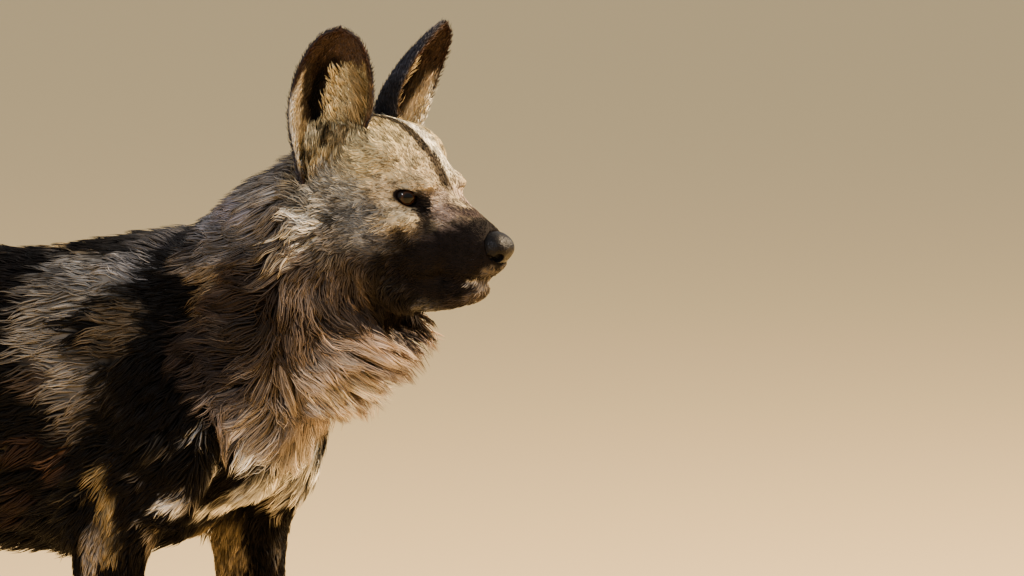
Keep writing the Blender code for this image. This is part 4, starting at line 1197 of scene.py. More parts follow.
GUIDES = [
    # millimetres right of the eyes and over them in the view, the way the hair points there, its kind
    (40, -17, -1, 0.45, "muzzle"),
    (18, -46, -1, 0.1, "muzzle"),
    (45, -66, -0.8, -0.5, "muzzle"),
    (33, -90, -1, -0.1, "chin"),
    (44, -80, -0.9, -0.3, "chin"),
    (-4, -81, -1, -0.25, "muzzle"),
    (-30, -85, -0.9, -0.5, "cheek"),
    (18, -6, -0.8, 0.6, "face"),
    (-4, 29, -0.6, 0.8, "face"),
    (-26, 38, -0.5, 0.85, "face"),
    (-43, 62, -0.6, 0.5, "crown"),
    (-21, 11, -0.7, 0.7, "face"),
    (0, -6, -0.9, 0.4, "face"),
    (-30, -19, -0.9, -0.3, "face"),
    (-43, -2, -1, 0.1, "face"),
    (-65, 25, -0.9, 0.4, "crown"),
    (-56, -24, -0.9, -0.45, "cheek"),
    (-78, -31, -0.9, -0.5, "cheek"),
    (-96, 3, -1, -0.2, "cheek"),
    (-102, -41, -1, -0.4, "cheek"),
    (-116, -52, -0.8, -0.7, "jowl"),
    (-114, -26, -0.9, 0.3, "wisp"),
    (-127, -38, -0.7, -0.7, "wisp"),
    (-92, 38, 0.35, 1, "ear_base"),
    (-72, 57, 0.3, 1, "ear_base"),
    (-104, 25, 0.2, 1, "ear_base"),
    (-111, 47, 0.1, 1, "ear_base"),
    (-78, 13, -0.9, 0.1, "crown"),
    (-92, -66, -0.2, -0.9, "jowl"),
    (-65, -78, 0.5, -0.8, "jowl"),
    (-34, -96, 0.8, -0.5, "jowl"),
    (-133, -94, -0.3, -1, "ruff"),
    (-155, -81, -0.9, -0.1, "ruff"),
    (-175, -112, -1, 0.1, "ruff"),
    (-184, -138, -1, -0.15, "ruff"),
    (-175, -169, -1, -0.2, "ruff"),
    (-166, -191, -0.9, -0.45, "ruff"),
    (-151, -210, -0.7, -0.7, "ruff"),
    (-128, -196, -0.4, -0.9, "ruff"),
    (-113, -219, -0.5, -0.8, "chest"),
    (-118, -165, -0.2, -1, "ruff"),
    (-100, -191, 0.3, -0.9, "ruff"),
    (-92, -147, 0.3, -0.95, "throat"),
    (-74, -129, 0.8, -0.5, "throat"),
    (-55, -134, 1, -0.2, "throat"),
    (-34, -116, 1, -0.05, "throat"),
    (-17, -121, 1, -0.1, "throat"),
    (-65, -160, 0.8, -0.6, "throat"),
    (-83, -187, 0.6, -0.8, "throat"),
    (-118, -112, 0.1, -1, "ruff"),
    (-100, -94, 0.5, -0.85, "ruff"),
    (-131, 20, -0.9, -0.3, "nape"),
    (-158, 3, -0.95, -0.25, "nape"),
    (-180, -17, -1, -0.2, "nape"),
    (-206, -37, -1, -0.15, "nape"),
    (-171, -41, -0.9, -0.3, "nape"),
    (-151, -26, -0.8, -0.4, "nape"),
    (-140, -46, -0.6, -0.6, "ruff"),
    (-197, -85, -0.9, -0.3, "shoulder"),
    (-232, -94, -0.9, -0.35, "shoulder"),
    (-224, -165, -0.7, -0.7, "shoulder"),
    (-215, -217, -0.6, -0.8, "shoulder"),
    (-294, -85, -1, -0.1, "flank"),
    (-329, -138, -1, -0.25, "flank"),
    (-320, -200, -0.95, -0.35, "flank"),
    (-347, -253, -0.9, -0.3, "flank"),
    (-114, -226, -0.5, -0.7, "chest"),
    (-125, -251, -0.6, -0.8, "chest"),
    (-160, -253, -0.8, -0.5, "chest"),
    (-190, -242, -0.8, -0.5, "chest"),
    (-294, -279, -0.3, -1, "upper_leg"),
    (-237, -275, -0.8, -0.5, "upper_leg"),
    (-171, -305, 0, -1, "upper_leg"),
    (-134, -297, 0, -1, "upper_leg"),
]
THROAT_WAY = (0.92, -0.12, -0.30)
HEAD_WAYS = [
    # head frame: places that no side view shows
    (0.060, 0.000, -0.015, -1.0, 0.0, 0.2, "muzzle"),
    (0.070, 0.000, -0.052, -0.7, 0.0, -0.6, "muzzle"),
    (0.055, 0.000, -0.088, -1.0, 0.0, -0.1, "chin"),
    (0.020, 0.000, -0.104, -1.0, 0.0, -0.1, "cheek"),
    (-0.020, 0.000, -0.110, -0.9, 0.0, -0.3, "jowl"),
    (-0.060, 0.000, -0.105, 0.8, 0.0, -0.6, "throat"),
    (-0.060, 0.000, 0.055, -1.0, 0.0, 0.1, "crown"),
    (-0.095, 0.000, 0.050, -1.0, 0.0, -0.2, "nape"),
]


def body_guides():
    """Guides round the trunk, the legs and the tail, where the lie runs back and down along each form."""
    made = []
    for x, y, z, up, down, half in through(TORSO[1:-3], 2):
        for turn in range(0, 360, 45):
            s, c = math.sin(math.radians(turn)), math.cos(math.radians(turn))
            if x > 0.09 and c > -0.5:
                continue
            place = (x, half * s, z + (up if c > 0 else down) * c)
            kind = "back" if c > 0.6 else "belly" if c < -0.6 else "flank"
            if x > 0.2:
                kind = "chest"
            rump = max(0.0, (-0.36 - x) / 0.1)
            fall = -0.26 * abs(s) - 0.2 * (c < -0.6) - 0.9 * rump
            made.append((*place, -1.0 + 0.7 * rump, 0.0, fall, kind))
    for side in SIDES:
        fore, hind = legs_of(side)
        for rows, kinds in ((fore[3:], ("upper_leg", "upper_leg")), (hind[2:], ("thigh", "shank"))):
            for i, (x, y, z, ahead, back, half) in enumerate(rows):
                after = rows[min(i + 1, len(rows) - 1)]
                way = Vector((after[0] - x - 0.004, 0, after[2] - z - 0.01)).normalized()
                kind = kinds[0] if z > 0.40 else kinds[1] if z > 0.26 else "lower_leg"
                if z < 0.07:
                    way, kind = Vector((0.85, 0, -0.5)), "paw"
                for place in ((x + ahead, y), (x - back, y), (x, y + half), (x, y - half)):
                    made.append((*place, z, *way, kind))
            x, y = rows[-1][:2]
            made.append((x + 0.05, y, 0.02, 0.95, 0, -0.3, "paw"))
    rows = through(TAIL[1:], 2)
    for i, (x, y, z, up, down, half) in enumerate(rows):
        before, after = rows[max(i - 1, 0)], rows[min(i + 1, len(rows) - 1)]
        way = Vector((after[0] - before[0], 0, after[2] - before[2])).normalized()
        kind = "tail_root" if z > 0.54 else "tail_black" if z > 0.44 else "tail_white"
        for step in (-half, half):
            made.append((x, y + step, z, *way, kind))
    return made


def all_guides(tree):
    made = []
    for across, up, right, rise, kind in GUIDES:
        place, out = seen(tree, across, up)
        way = Vector(THROAT_WAY) if kind == "throat" else seen_way(out, right, rise)
        made.append((*place, *way, kind))
        made.append((*mirrored_place(place), way.x, -way.y, way.z, kind))
    for x, y, z, wx, wy, wz, kind in HEAD_WAYS:
        made.append((*in_head(x, y, z), *head_way(Vector((wx, wy, wz))), kind))
    return made + body_guides()


GUIDE_REACH = 0.014  # within this the guides nearest to a point share it evenly
GUIDE_FALL = 2.5
BATCH = 2048  # points at a time


def comb(points, normals, tree):
    """For each point of the skin: the way of its hair, the numbers of its kind and the nearest kind."""
    guides = all_guides(tree)
    places = np.array([row[:3] for row in guides])
    ways = np.array([row[3:6] for row in guides])
    ways /= np.linalg.norm(ways, axis=1)[:, None]
    kinds = np.array([NAMES.index(row[6]) for row in guides])
    numbers = np.hstack([ways, NUMBERS[kinds]])
    values = np.empty((len(points), numbers.shape[1]))
    nearest = np.empty(len(points), int)
    for first in range(0, len(points), BATCH):
        part = slice(first, first + BATCH)
        far = ((points[part][:, None, :] - places[None]) ** 2).sum(axis=2)
        nearest[part] = kinds[far.argmin(axis=1)]
        weight = 1 / (far + GUIDE_REACH**2) ** GUIDE_FALL
        weight /= weight.sum(axis=1)[:, None]
        values[part] = weight @ numbers
    way = values[:, :3]
    way /= np.linalg.norm(way, axis=1)[:, None] + 1e-9
    sunk = np.minimum((way * normals).sum(axis=1), 0.0)
    way -= normals * sunk[:, None]
    way /= np.linalg.norm(way, axis=1)[:, None] + 1e-9
    return way, values[:, 3:], nearest


# Tufts

PIECE_LIMIT = 192000  # triangles
PATCH = 0.003  # size of one tuft on its map
ROOT_SUNK = 0.0006
MOST_RISE = 2.0  # a tuft's greatest height over the skin, as a share of its least one
WAY_KEPT = 0.45  # share of its own way that a tuft keeps at each ring
WAY_COMBED = 0.55  # share that it takes from the lie of the hair under it
EAR_SINK = 0.12  # how far a tuft on an ear sinks towards the skin, as a share of its length


def read_skin(skin):
    """The skin as arrays: points, normals, triangles and their areas."""
    mesh = skin.data
    mesh.calc_loop_triangles()
    triangles = np.empty(len(mesh.loop_triangles) * 3, np.int32)
    mesh.loop_triangles.foreach_get("vertices", triangles)
    triangles = triangles.reshape(-1, 3)
    points, normals = vectors_of(mesh, "co"), vectors_of(mesh, "normal")
    a, b, c = (points[triangles[:, k]] for k in range(3))
    areas = np.linalg.norm(np.cross(b - a, c - a), axis=1) / 2
    return points, normals, triangles, areas


def unit(ways):
    return ways / (np.linalg.norm(ways, axis=-1, keepdims=True) + 1e-12)


def paths_of(roots, outs, ways, lengths, rings, rises=None, skin=None):
    """Points along each tuft, and the way out of the skin at each of them.

    Over the skin a tuft keeps low and follows the lie of the hair. On an ear it runs on and sinks a little.
    """
    count = len(roots)
    path = np.empty((count, rings + 1, 3))
    sides = np.empty((count, rings + 1, 3))
    path[:, 0] = roots - outs * ROOT_SUNK
    sides[:, 0] = outs
    place = roots.copy()
    way = ways.copy()
    out = outs
    for k in range(1, rings + 1):
        share = k / rings
        place = place + way * (lengths / rings)[:, None]
        if skin:
            near = nearest_in(skin.near, place)
            out = skin.normals[near]
            height = ((place - skin.points[near]) * out).sum(axis=1)
            low = rises * lengths * share**0.8
            high = low * MOST_RISE
            place = place + out * (np.clip(height, low, high) - height)[:, None]
            way = unit(WAY_KEPT * way + WAY_COMBED * skin.ways[near])
        else:
            place = place - out * (EAR_SINK * lengths * share)[:, None] / rings
        path[:, k] = place
        sides[:, k] = out
    return path, sides


WAVE_TURN = 4.4  # radians of the wave along one tuft


def gathered(rng, path, roots, amount, every, wave, sides):
    """Draws neighbouring tufts together towards their tips, and waves each gathered lot as one."""
    count, rings = len(path), path.shape[1] - 1
    leaders = rng.choice(count, max(1, count // every), replace=False)
    lot = nearest_in(points_tree(roots[leaders]), roots)
    lead = path[leaders][lot]
    share = (np.arange(rings + 1) / rings) ** 1.4
    draw = amount[:, None] * rng.uniform(0.5, 1.2, count)[:, None] * share[None]
    path = path + (lead - path) * draw[:, :, None]
    across = unit(np.cross(path[:, -1] - path[:, 0], sides[:, 1]))
    phase = rng.uniform(0, 2 * math.pi, len(leaders))[lot]
    swing = np.sin(phase[:, None] + np.arange(rings + 1)[None] * (WAVE_TURN / rings)) * share[None]
    path += across[:, None, :] * (swing * wave[:, None])[:, :, None]
    return path, lot


# the width of each ring, for each number of rings
WIDTHS = {2: (0.75, 0.9), 3: (0.7, 1.0, 0.62), 4: (0.65, 1.0, 0.85, 0.5)}
THICK = 0.42  # a tuft's thickness as a share of its width


def tuft_mesh(name, path, sides, widths, colours, patches):
    """One closed mesh of tapered, three-sided tufts, with their colours and their map."""
    count, rings = len(path), path.shape[1] - 1
    tangent = unit(path[:, 1:] - path[:, :-1])
    out = unit(sides[:, :-1] - tangent * (sides[:, :-1] * tangent).sum(axis=2, keepdims=True))
    wide = np.cross(tangent, out)
    half = widths[:, None] * np.array(WIDTHS[rings])[None] / 2
    body = path[:, :-1]
    left = body - wide * half[:, :, None]
    top = body + out * (half * THICK * 2)[:, :, None]
    right = body + wide * half[:, :, None]
    ring_points = np.stack([left, top, right], axis=2).reshape(count, rings * 3, 3)
    points = np.concatenate([ring_points, path[:, -1:]], axis=1)
    faces = [(0, 2, 1)]
    for r in range(rings - 1):
        for k in range(3):
            a, b = 3 * r + k, 3 * r + (k + 1) % 3
            faces += [(a, b, b + 3), (a, b + 3, a + 3)]
    tip = 3 * rings
    faces += [(3 * (rings - 1) + k, 3 * (rings - 1) + (k + 1) % 3, tip) for k in range(3)]
    faces = np.array(faces)[:, ::-1]
    per = tip + 1
    corners = (faces[None] + (np.arange(count) * per)[:, None, None]).reshape(-1)
    mesh = bpy.data.meshes.new(name)
    mesh.vertices.add(count * per)
    mesh.vertices.foreach_set("co", points.astype(np.float32).ravel())
    mesh.loops.add(len(corners))
    mesh.loops.foreach_set("vertex_index", corners.astype(np.int32))
    mesh.polygons.add(len(corners) // 3)
    mesh.polygons.foreach_set("loop_start", np.arange(0, len(corners), 3, dtype=np.int32))
    mesh.update(calc_edges=True)
    along = np.concatenate([np.repeat(np.arange(rings) / rings, 3), [1.0]])
    across = np.concatenate([np.tile([0.0, 0.5, 1.0], rings), [0.5]])
    # each tuft's colour runs from the painted shade of its root to the painted light of its tip
    shade = colours[:, 0, None] + (colours[:, 1, None] - colours[:, 0, None]) * along[None, :, None]
    paint_points(mesh, shade)
    spot = patches[:, None] + np.stack([across, along], axis=1)[None] * PATCH
    on_loops = spot.reshape(-1, 2)[corners]
    mesh.uv_layers.new(name="OFBake").data.foreach_set("uv", on_loops.astype(np.float32).ravel())
    mesh.shade_smooth()
    return new_object(name, mesh)


# The coat, piece by piece

GROUPS = {
    # kinds of hair, rings of a tuft, tufts gathered as one, the finish and the solids it stands for
    "coat_face": (("muzzle", "chin", "face", "crown", "ear_base"), 2, 9, "mottled_coat", ("head",)),
    "coat_cheeks": (("cheek", "jowl", "wisp"), 3, 10, "mottled_coat", ("head",)),
    "coat_ruff": (("ruff", "throat"), 4, 24, "mottled_coat", ("neck",)),
    "coat_nape": (("nape",), 3, 18, "mottled_coat", ("neck",)),
    "coat_shoulders": (("shoulder", "chest"), 3, 14, "black_coat", ("torso",)),
    "coat_trunk": (("flank", "back", "belly"), 3, 14, "black_coat", ("torso",)),
    "coat_legs": (("upper_leg", "thigh", "shank"), 2, 10, "black_coat", ("torso",)),
    "coat_feet": (("lower_leg", "paw"), 2, 9, "white_coat", ("torso",)),
    "coat_tail": (("tail_root", "tail_black", "tail_white"), 4, 12, "white_coat", ("tail",)),
}
EYE_SLIT = (0.0128, 0.0068)  # half length and half height of the bare almond round the opening of the lids
BARE_UNDER = 0.006  # the soles carry none


def eye_distance(face, sign):
    """How far points are from the slit between the lids: 1 on the edge of the bare almond."""
    frame = eye_frame(sign)
    local = (face - np.array(eye_place(sign) + frame.col[2] * EYE_RADIUS)) @ np.array(frame)
    far = np.hypot(local[:, 0] / EYE_SLIT[0], local[:, 1] / EYE_SLIT[1])
    return np.where(np.abs(local[:, 2]) < 0.012, far, 9.0)


NOSE_MIDDLE = (0.0790, 0.0, -0.0315)
NOSE_BARE = (0.0128, 0.0160, 0.0138)


def bare(points):
    """True where no hair grows: the eyes and lids, the nose and its rim, the soles."""
    face = into_head(points)
    none = points[:, 2] < BARE_UNDER
    for sign in SIDES.values():
        none |= eye_distance(face, sign) < 1.0
    nose = face - np.array(NOSE_MIDDLE)
    none |= np.linalg.norm(nose / NOSE_BARE, axis=1) < 1.0
    return none


class Skin:
    """What the coat needs to know of the skin."""

    def __init__(self, obj):
        self.points, self.normals, self.triangles, self.areas = read_skin(obj)
        self.near = points_tree(self.points)
        faces = tree_of(obj)
        self.markings = all_markings(faces)
        self.ways, self.numbers, self.kinds = comb(self.points, self.normals, faces)
        on_ear, self.ear_u, self.ear_s, self.ear_in, self.ear_way = ear_places(self.points, self.normals)
        self.ear = on_ear
        self.colours = coat_colour(self.points, self.numbers[:, 8:11], self.markings)
        self.colours[on_ear] = ear_colour(self.points, self.ear_u, self.ear_s, self.ear_in)[on_ear]

    def scattered(self, rng, chosen, spacing):
        """Even random roots on the chosen triangles: the triangle of each and its place in it."""
        wanted = self.areas[chosen] / (spacing * spacing)
        counts = np.floor(wanted + rng.random(len(wanted))).astype(int)
        where = np.repeat(np.flatnonzero(chosen), counts)
        u, v = rng.random(len(where)), rng.random(len(where))
        over = u + v > 1
        u[over], v[over] = 1 - u[over], 1 - v[over]
        return where, np.stack([1 - u - v, u, v], axis=1)

    def at(self, values, where, weights):
        """Values of the skin's points, at roots given by triangle and place in it."""
        corners = values[self.triangles[where]]
        if corners.ndim == 2:
            return (corners * weights).sum(axis=1)
        return (corners * weights[:, :, None]).sum(axis=1)


EAR_MARGIN = 0.0007  # how far outside the leaf a point may lie and still be on it


def ear_grid(sign, across=24, steps=4):
    """The ear's leaf as rows of points in the model's frame."""
    return [[in_head(*point) for point in row] for row in ear_rows(sign, across, steps)]


def ear_places(points, normals):
    """For each point: whether it is on an ear, where across and up it, which face it is on, the way up."""
    count = len(points)
    on_ear = np.zeros(count, bool)
    u, s, inner = np.zeros(count), np.zeros(count), np.zeros(count, bool)
    way = np.zeros((count, 3))
    face = into_head(points)
    shares = [row[0] for row in through(EAR_SHAPE, 4)]
    for sign in SIDES.values():
        grid = ear_grid(sign)
        verts = [point for row in grid for point in row]
        wide = len(grid[0])
        quads = [
            (r * wide + k, r * wide + k + 1, (r + 1) * wide + k + 1, (r + 1) * wide + k)
            for r in range(len(grid) - 1)
            for k in range(wide - 1)
        ]
        tree = BVHTree.FromPolygons(verts, quads)
        for i in np.flatnonzero((face[:, 2] > -0.03) & (face[:, 1] * sign > 0.02) & (face[:, 0] < -0.03)):
            place, _, index, far = tree.find_nearest(points[i])
            if far > EAR_SKIN * 0.5 + EAR_MARGIN:
                continue
            r, k = divmod(index, wide - 1)
            low, high = grid[r], grid[r + 1]
            middle = (low[k] + low[k + 1] + high[k] + high[k + 1]) / 4
            across = low[k + 1] - low[k]
            up = high[k] - low[k]
            beside = (place - middle).dot(across.normalized()) / max(1e-5, across.length)
            above = (place - middle).dot(up) / up.length_squared
            cup = middle - (low[0] + low[-1]) / 2
            on_ear[i] = True
            u[i] = (2 * (k + 0.5 + beside) / (wide - 1) - 1) * sign
            s[i] = shares[r] + (shares[r + 1] - shares[r]) * (0.5 + above)
            inner[i] = Vector(normals[i]).dot(cup) < 0
            way[i] = up.normalized()
    return on_ear, u, s, inner, way


EAR_PATCHES = [
    # u from the inner to the outer edge, share of the height, reaches, colour; on the inner face
    (-0.60, 0.45, 0.45, 0.32, "a08a5c"),
    (-0.30, 0.08, 0.35, 0.20, "8d7850"),
    (-0.22, 0.36, 0.22, 0.26, "ead6a6"),
    (0.0, 0.82, 1.1, 0.17, "42342a"),
    (0.10, 0.62, 0.45, 0.12, "241a12"),
    (0.27, 0.38, 0.18, 0.24, "0a0807"),
    (0.20, 0.12, 0.12, 0.20, "0a0807"),
    (0.86, 0.46, 0.20, 0.16, "e6d3b8"),
    (0.76, 0.28, 0.19, 0.15, "efe0c4"),
    (0.52, 0.10, 0.18, 0.13, "e2cb9c"),
    (0.94, 0.34, 0.12, 0.28, "f6efdf"),
]
# the back of the ears: dark fur, with a bluish cast that is a painted reflection of the sky
EAR_BACK_WITH_SKY_REFLECTION = "313036"
EAR_INNER = "3d342b"
EAR_RIM = "33221a"
EAR_TUFTS = ("8d7a56", "e4cf9c")  # the long hair inside, darkest and lightest
EAR_SPACING = 0.0021
EAR_TUFT_SPACING = 0.0024
EAR_FLECK = 0.35


def ear_colour(points, u, s, inner):
    """Colours of the ears' fur: patches and a dark rim on the inner face; on the back one dark grey, the dark
    fur with a painted bluish reflection of the sky.
    """
    colour = np.where(inner[:, None], np.array(linear(EAR_INNER)), np.array(linear(EAR_BACK_WITH_SKY_REFLECTION)))
    blur = noise(points, 0.006, 31) * 0.10
    for at, high, wide, tall, paint in EAR_PATCHES:
        far = np.hypot((u + blur - at) / wide, (s + blur - high) / tall)
        blend(colour, paint, (1 - steps_between(far, 0.7, 1.3)) * inner)
    low = 1 - steps_between(s, 0.45, 0.65)
    edge = steps_between(np.abs(u) - 0.10 * low * (u > 0), 0.84, 0.93)
    tip = steps_between(s, 0.90, 0.96)
    blend(colour, EAR_RIM, np.maximum(edge, tip) * inner * 0.85)
    return colour * (1 + 0.2 * noise(points, 0.004, 33))[:, None]


UNWRAP_COLUMNS = 8
LEG_TOP = 0.42
TAIL_FROM = -0.485


def middle_line(rows):
    """Heights along a leg or the tail, from the lowest up, and how far ahead its middle is at each."""
    rows = sorted(rows, key=lambda row: row[2])
    return [row[2] for row in rows], [row[0] for row in rows]


def map_places(points):
    """A place on the map for each root: columns for the parts of the body, along each and round it."""
    x, y, z = points.T
    face = into_head(points)
    part = np.full(len(points), 1)
    along = (x + 0.48) / 0.80
    round_y, round_z = y, z - 0.58
    on_head = face[:, 0] > -0.11
    part[on_head] = 0
    along = np.where(on_head, (face[:, 0] + 0.11) / 0.20, along)
    round_y = np.where(on_head, face[:, 1], round_y)
    round_z = np.where(on_head, face[:, 2] + 0.03, round_z)
    column = 2
    for k, ahead in enumerate((True, False)):
        for side, sign in SIDES.items():
            leg = (z < LEG_TOP) & (y * sign > 0) & ((x > -0.1) == ahead)
            part[leg] = column
            along = np.where(leg, z / LEG_TOP, along)
            round_y = np.where(leg, x - np.interp(z, *middle_line(legs_of(side)[k])), round_y)
            round_z = np.where(leg, y - 0.078 * sign, round_z)
            column += 1
    tail = x < TAIL_FROM
    part[tail] = column
    along = np.where(tail, (z - 0.25) / 0.40, along)
    round_y = np.where(tail, x - np.interp(z, *middle_line(TAIL[2:])), round_y)
    round_z = np.where(tail, y, round_z)
    turn = np.arctan2(round_y, round_z) / (2 * math.pi) + 0.5
    across = (part + 0.02 + 0.94 * np.clip(along, 0, 1)) / UNWRAP_COLUMNS
    return np.stack([across, 0.01 + 0.97 * turn], axis=1)


# painted shade and light along each tuft: the root darkened as if shaded by the hair round it, the tip
# lightened as if lit by the sun
ROOT_PAINTED_SHADE = 0.45
TIP_PAINTED_LIGHT = 1.30


def shaded(rng, colour, lot, fleck):
    """Root and tip colours of each tuft, with painted shade at the root and painted light at the tip, and
    some change from lot to lot and tuft to tuft.
    """
    lots = rng.normal(0, 1.0, lot.max() + 1)[lot]
    each = np.exp((0.7 * lots + rng.normal(0, 0.7, len(lot))) * fleck)
    tint = colour * np.clip(each, 0.25, 2.2)[:, None]
    return np.stack([tint * ROOT_PAINTED_SHADE, tint * TIP_PAINTED_LIGHT], axis=1)


def finished(obj, surface, finish, *stands_for):
    """Gives a piece its one material, hangs it on the root body and hides the solids it stands for."""
    obj.data.materials.clear()
    obj.data.materials.append(surface)
    obj.data.polygons.foreach_set("material_index", np.zeros(len(obj.data.polygons), np.int32))
    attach(obj, "root")
    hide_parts(*stands_for)
    return obj


def grow(name, skin, chosen, rings, every, seed, finish, stands_for):
    """The tufts of one piece, on the triangles of skin that are chosen."""
    rng = np.random.default_rng(seed)
    spacing = skin.numbers[skin.triangles[chosen], SPACING].mean(axis=1)
    where, weights = skin.scattered(rng, chosen, spacing)
    roots = skin.at(skin.points, where, weights)
    keep = ~bare(roots)
    where, weights, roots = where[keep], weights[keep], roots[keep]
    outs = unit(skin.at(skin.normals, where, weights))
    ways = skin.at(skin.ways, where, weights)
    numbers = skin.at(skin.numbers, where, weights)
    length, width, rise, _, gather, wave, fleck, tousle = numbers[:, :8].T
    count = len(roots)
    turn = rng.normal(0, 0.08, (count, 3))
    turn += noise_way(roots, 0.030, 51) * (tousle * 1.6)[:, None]
    turn += noise_way(roots, 0.011, 57) * tousle[:, None]
    ways = unit(unit(ways) + outs * (rise * 1.1)[:, None] + turn)
    lengths = length * rng.uniform(0.75, 1.2, count)
    path, sides = paths_of(roots, outs, ways, lengths, rings, rise, skin)
    path, lot = gathered(rng, path, roots, gather, every, wave, sides)
    places = roots - ways * (lengths * rng.uniform(0, 0.35, count))[:, None]
    colour = shaded(rng, coat_colour(places, numbers[:, 8:11], skin.markings), lot, fleck)
    widths = width * rng.uniform(0.75, 1.25, count)
    made = tuft_mesh(name, path, sides, widths, colour, map_places(roots))
    return finished(made, coat_hair, finish, *stands_for)


def grow_ear_fur(skin, chosen, ear_name, rng):
    """The short fur of one ear."""
    where, weights = skin.scattered(rng, chosen, EAR_SPACING)
    roots = skin.at(skin.points, where, weights)
    outs = unit(skin.at(skin.normals, where, weights))
    ways = unit(skin.at(skin.ear_way, where, weights))
    u, s = skin.at(skin.ear_u, where, weights), skin.at(skin.ear_s, where, weights)
    inner = skin.at(skin.ear_in.astype(float), where, weights) > 0.5
    count = len(roots)
    edge = steps_between(np.abs(u), 0.75, 0.95)
    ways = unit(ways + outs * (0.22 + 0.25 * edge)[:, None] + rng.normal(0, 0.13, (count, 3)))
    lengths = np.where(inner, 0.0075, 0.0060) * rng.uniform(0.7, 1.25, count)
    path, sides = paths_of(roots, outs, ways, lengths, 2)
    lot = rng.integers(0, max(1, count // 8), count)
    widths = 0.0009 * rng.uniform(0.8, 1.2, count)
    colour = shaded(rng, ear_colour(roots, u, s, inner), lot, np.full(count, EAR_FLECK))
    made = tuft_mesh("coat_" + ear_name, path, sides, widths, colour, map_places(roots))
    return finished(made, coat_hair, "ear_fur", ear_name)


def grow_ear_tufts(skin, ear_name, sign, rng):
    """The long cream hair inside one ear, rooted by its front edge and over the channel."""
    on = skin.ear & skin.ear_in & (into_head(skin.points)[:, 1] * sign > 0)
    hairy = on & (skin.ear_s > 0.05) & (skin.ear_s < 0.62) & (skin.ear_u > -0.97)
    hairy &= (skin.ear_u < 0.08) | ((skin.ear_u > 0.66) & (skin.ear_s < 0.5))
    where, weights = skin.scattered(rng, hairy[skin.triangles].all(axis=1), EAR_TUFT_SPACING)
    roots = skin.at(skin.points, where, weights)
    outs = unit(skin.at(skin.normals, where, weights))
    up = unit(skin.at(skin.ear_way, where, weights))
    u = skin.at(skin.ear_u, where, weights)
    count = len(roots)
    back = np.array(head_way(Vector((-0.35, 0.9 * sign, 0.15)).normalized()))
    drawn = np.where(u < 0.3, 0.5, 0.0)[:, None]
    ways = unit(0.9 * up + (0.1 + 0.9 * drawn) * outs + drawn * back + rng.normal(0, 0.14, (count, 3)))
    lengths = rng.uniform(0.016, 0.030, count) * np.where(u < -0.55, 1.0, np.where(u < 0.3, 0.75, 0.45))
    path, sides = paths_of(roots, outs, ways, lengths, 3)
    path, lot = gathered(rng, path, roots, np.full(count, 0.45), 8, np.full(count, 0.0008), sides)
    dark, light = EAR_TUFTS
    colour = np.tile(linear(dark), (count, 1))
    lit = np.maximum(1 - steps_between(np.abs(u + 0.22), 0.12, 0.42), steps_between(u, 0.5, 0.7))
    blend(colour, light, lit)
    colour = shaded(rng, colour, lot, np.full(count, EAR_FLECK))
    widths = 0.0010 * rng.uniform(0.8, 1.2, count)
    made = tuft_mesh("tufts_" + ear_name, path, sides, widths, colour, map_places(roots))
    return finished(made, coat_hair, "ear_fur", ear_name)


def grow_coat(skin):
    """Grows each group on the triangles whose hair is of its kinds, in two halves if it is a large one."""
    kinds = skin.kinds[skin.triangles[:, 0]]
    on_ear = skin.ear[skin.triangles].all(axis=1)
    middle = skin.points[skin.triangles].mean(axis=1)
    for seed, (name, (members, rings, every, finish, stands_for)) in enumerate(GROUPS.items()):
        chosen = np.isin(kinds, [NAMES.index(kind) for kind in members]) & ~on_ear
        spacing = skin.numbers[skin.triangles[chosen, 0], SPACING]
        triangles = (skin.areas[chosen] / spacing**2).sum() * (6 * rings - 2)
        halves = {"": chosen}
        if triangles > PIECE_LIMIT:
            halves = {"_left": chosen & (middle[:, 1] > 0), "_right": chosen & (middle[:, 1] <= 0)}
        for k, (half, part) in enumerate(halves.items()):
            grow(name + half, skin, part, rings, every, 100 + 10 * seed + k, finish, stands_for)
    for side, sign in SIDES.items():
        rng = np.random.default_rng(71 + sign)
        one_ear = on_ear & (into_head(middle)[:, 1] * sign > 0)
        grow_ear_fur(skin, one_ear, f"ear_{side}", rng)
        grow_ear_tufts(skin, f"ear_{side}", sign, rng)


# Eyes, nose and claws


def make_eye(name, sign):
    """An eyeball that knows, at each point, how far it is from the way it looks."""
    eye = eyeball(name, sign, EYE_RADIUS, Matrix.Rotation(LID_TURN, 3, "X"), 5)
    aim = np.array(head_way(eye_frame(sign).col[2]))
    centre = np.array(in_head(*eye_place(sign)))
    away = np.arccos(np.clip(unit(vectors_of(eye.data, "co") - centre) @ aim, -1, 1))
    eye.data.attributes.new("away", "FLOAT", "POINT").data.foreach_set("value", away.astype(np.float32))
    eye.data.shade_smooth()
    return finished(eye, eye_surface, "eye", name)


def make_nose():
    nose = placed_in_head(loft("nose", NOSE, steps=4, sides=40, boxy=2.4))
    boolean(nose, "DIFFERENCE", *nostrils(3), solver="MANIFOLD")
    largest_shell(nose)
    nose.data.shade_smooth()
    return finished(nose, nose_leather, "nose_leather", "nose")


def make_claws():
    made = []
    for side in SIDES:
        for rows in legs_of(side):
            made += [claw("claw", rows[-1], ahead, across) for ahead, across in CLAWS]
    claws = joined("claws", made)
    claws.data.shade_smooth()
    paws = (f"{name}_{side}" for name in ("forepaw", "hindpaw") for side in SIDES)
    return finished(claws, claw_horn, "nose_leather", *paws)


# Materials

GRAIN_DEPTH = 0.0006
EYE_RINGS = [
    # radians from the way the eye looks, colour
    (0.00, "040303"),
    (0.36, "040303"),
    (0.39, "170d07"),
    (0.53, "2f1c0d"),
    (0.60, "120a06"),
    (0.67, "0b0706"),
    (0.95, "171110"),
]
LID_RIM = "120d0c"


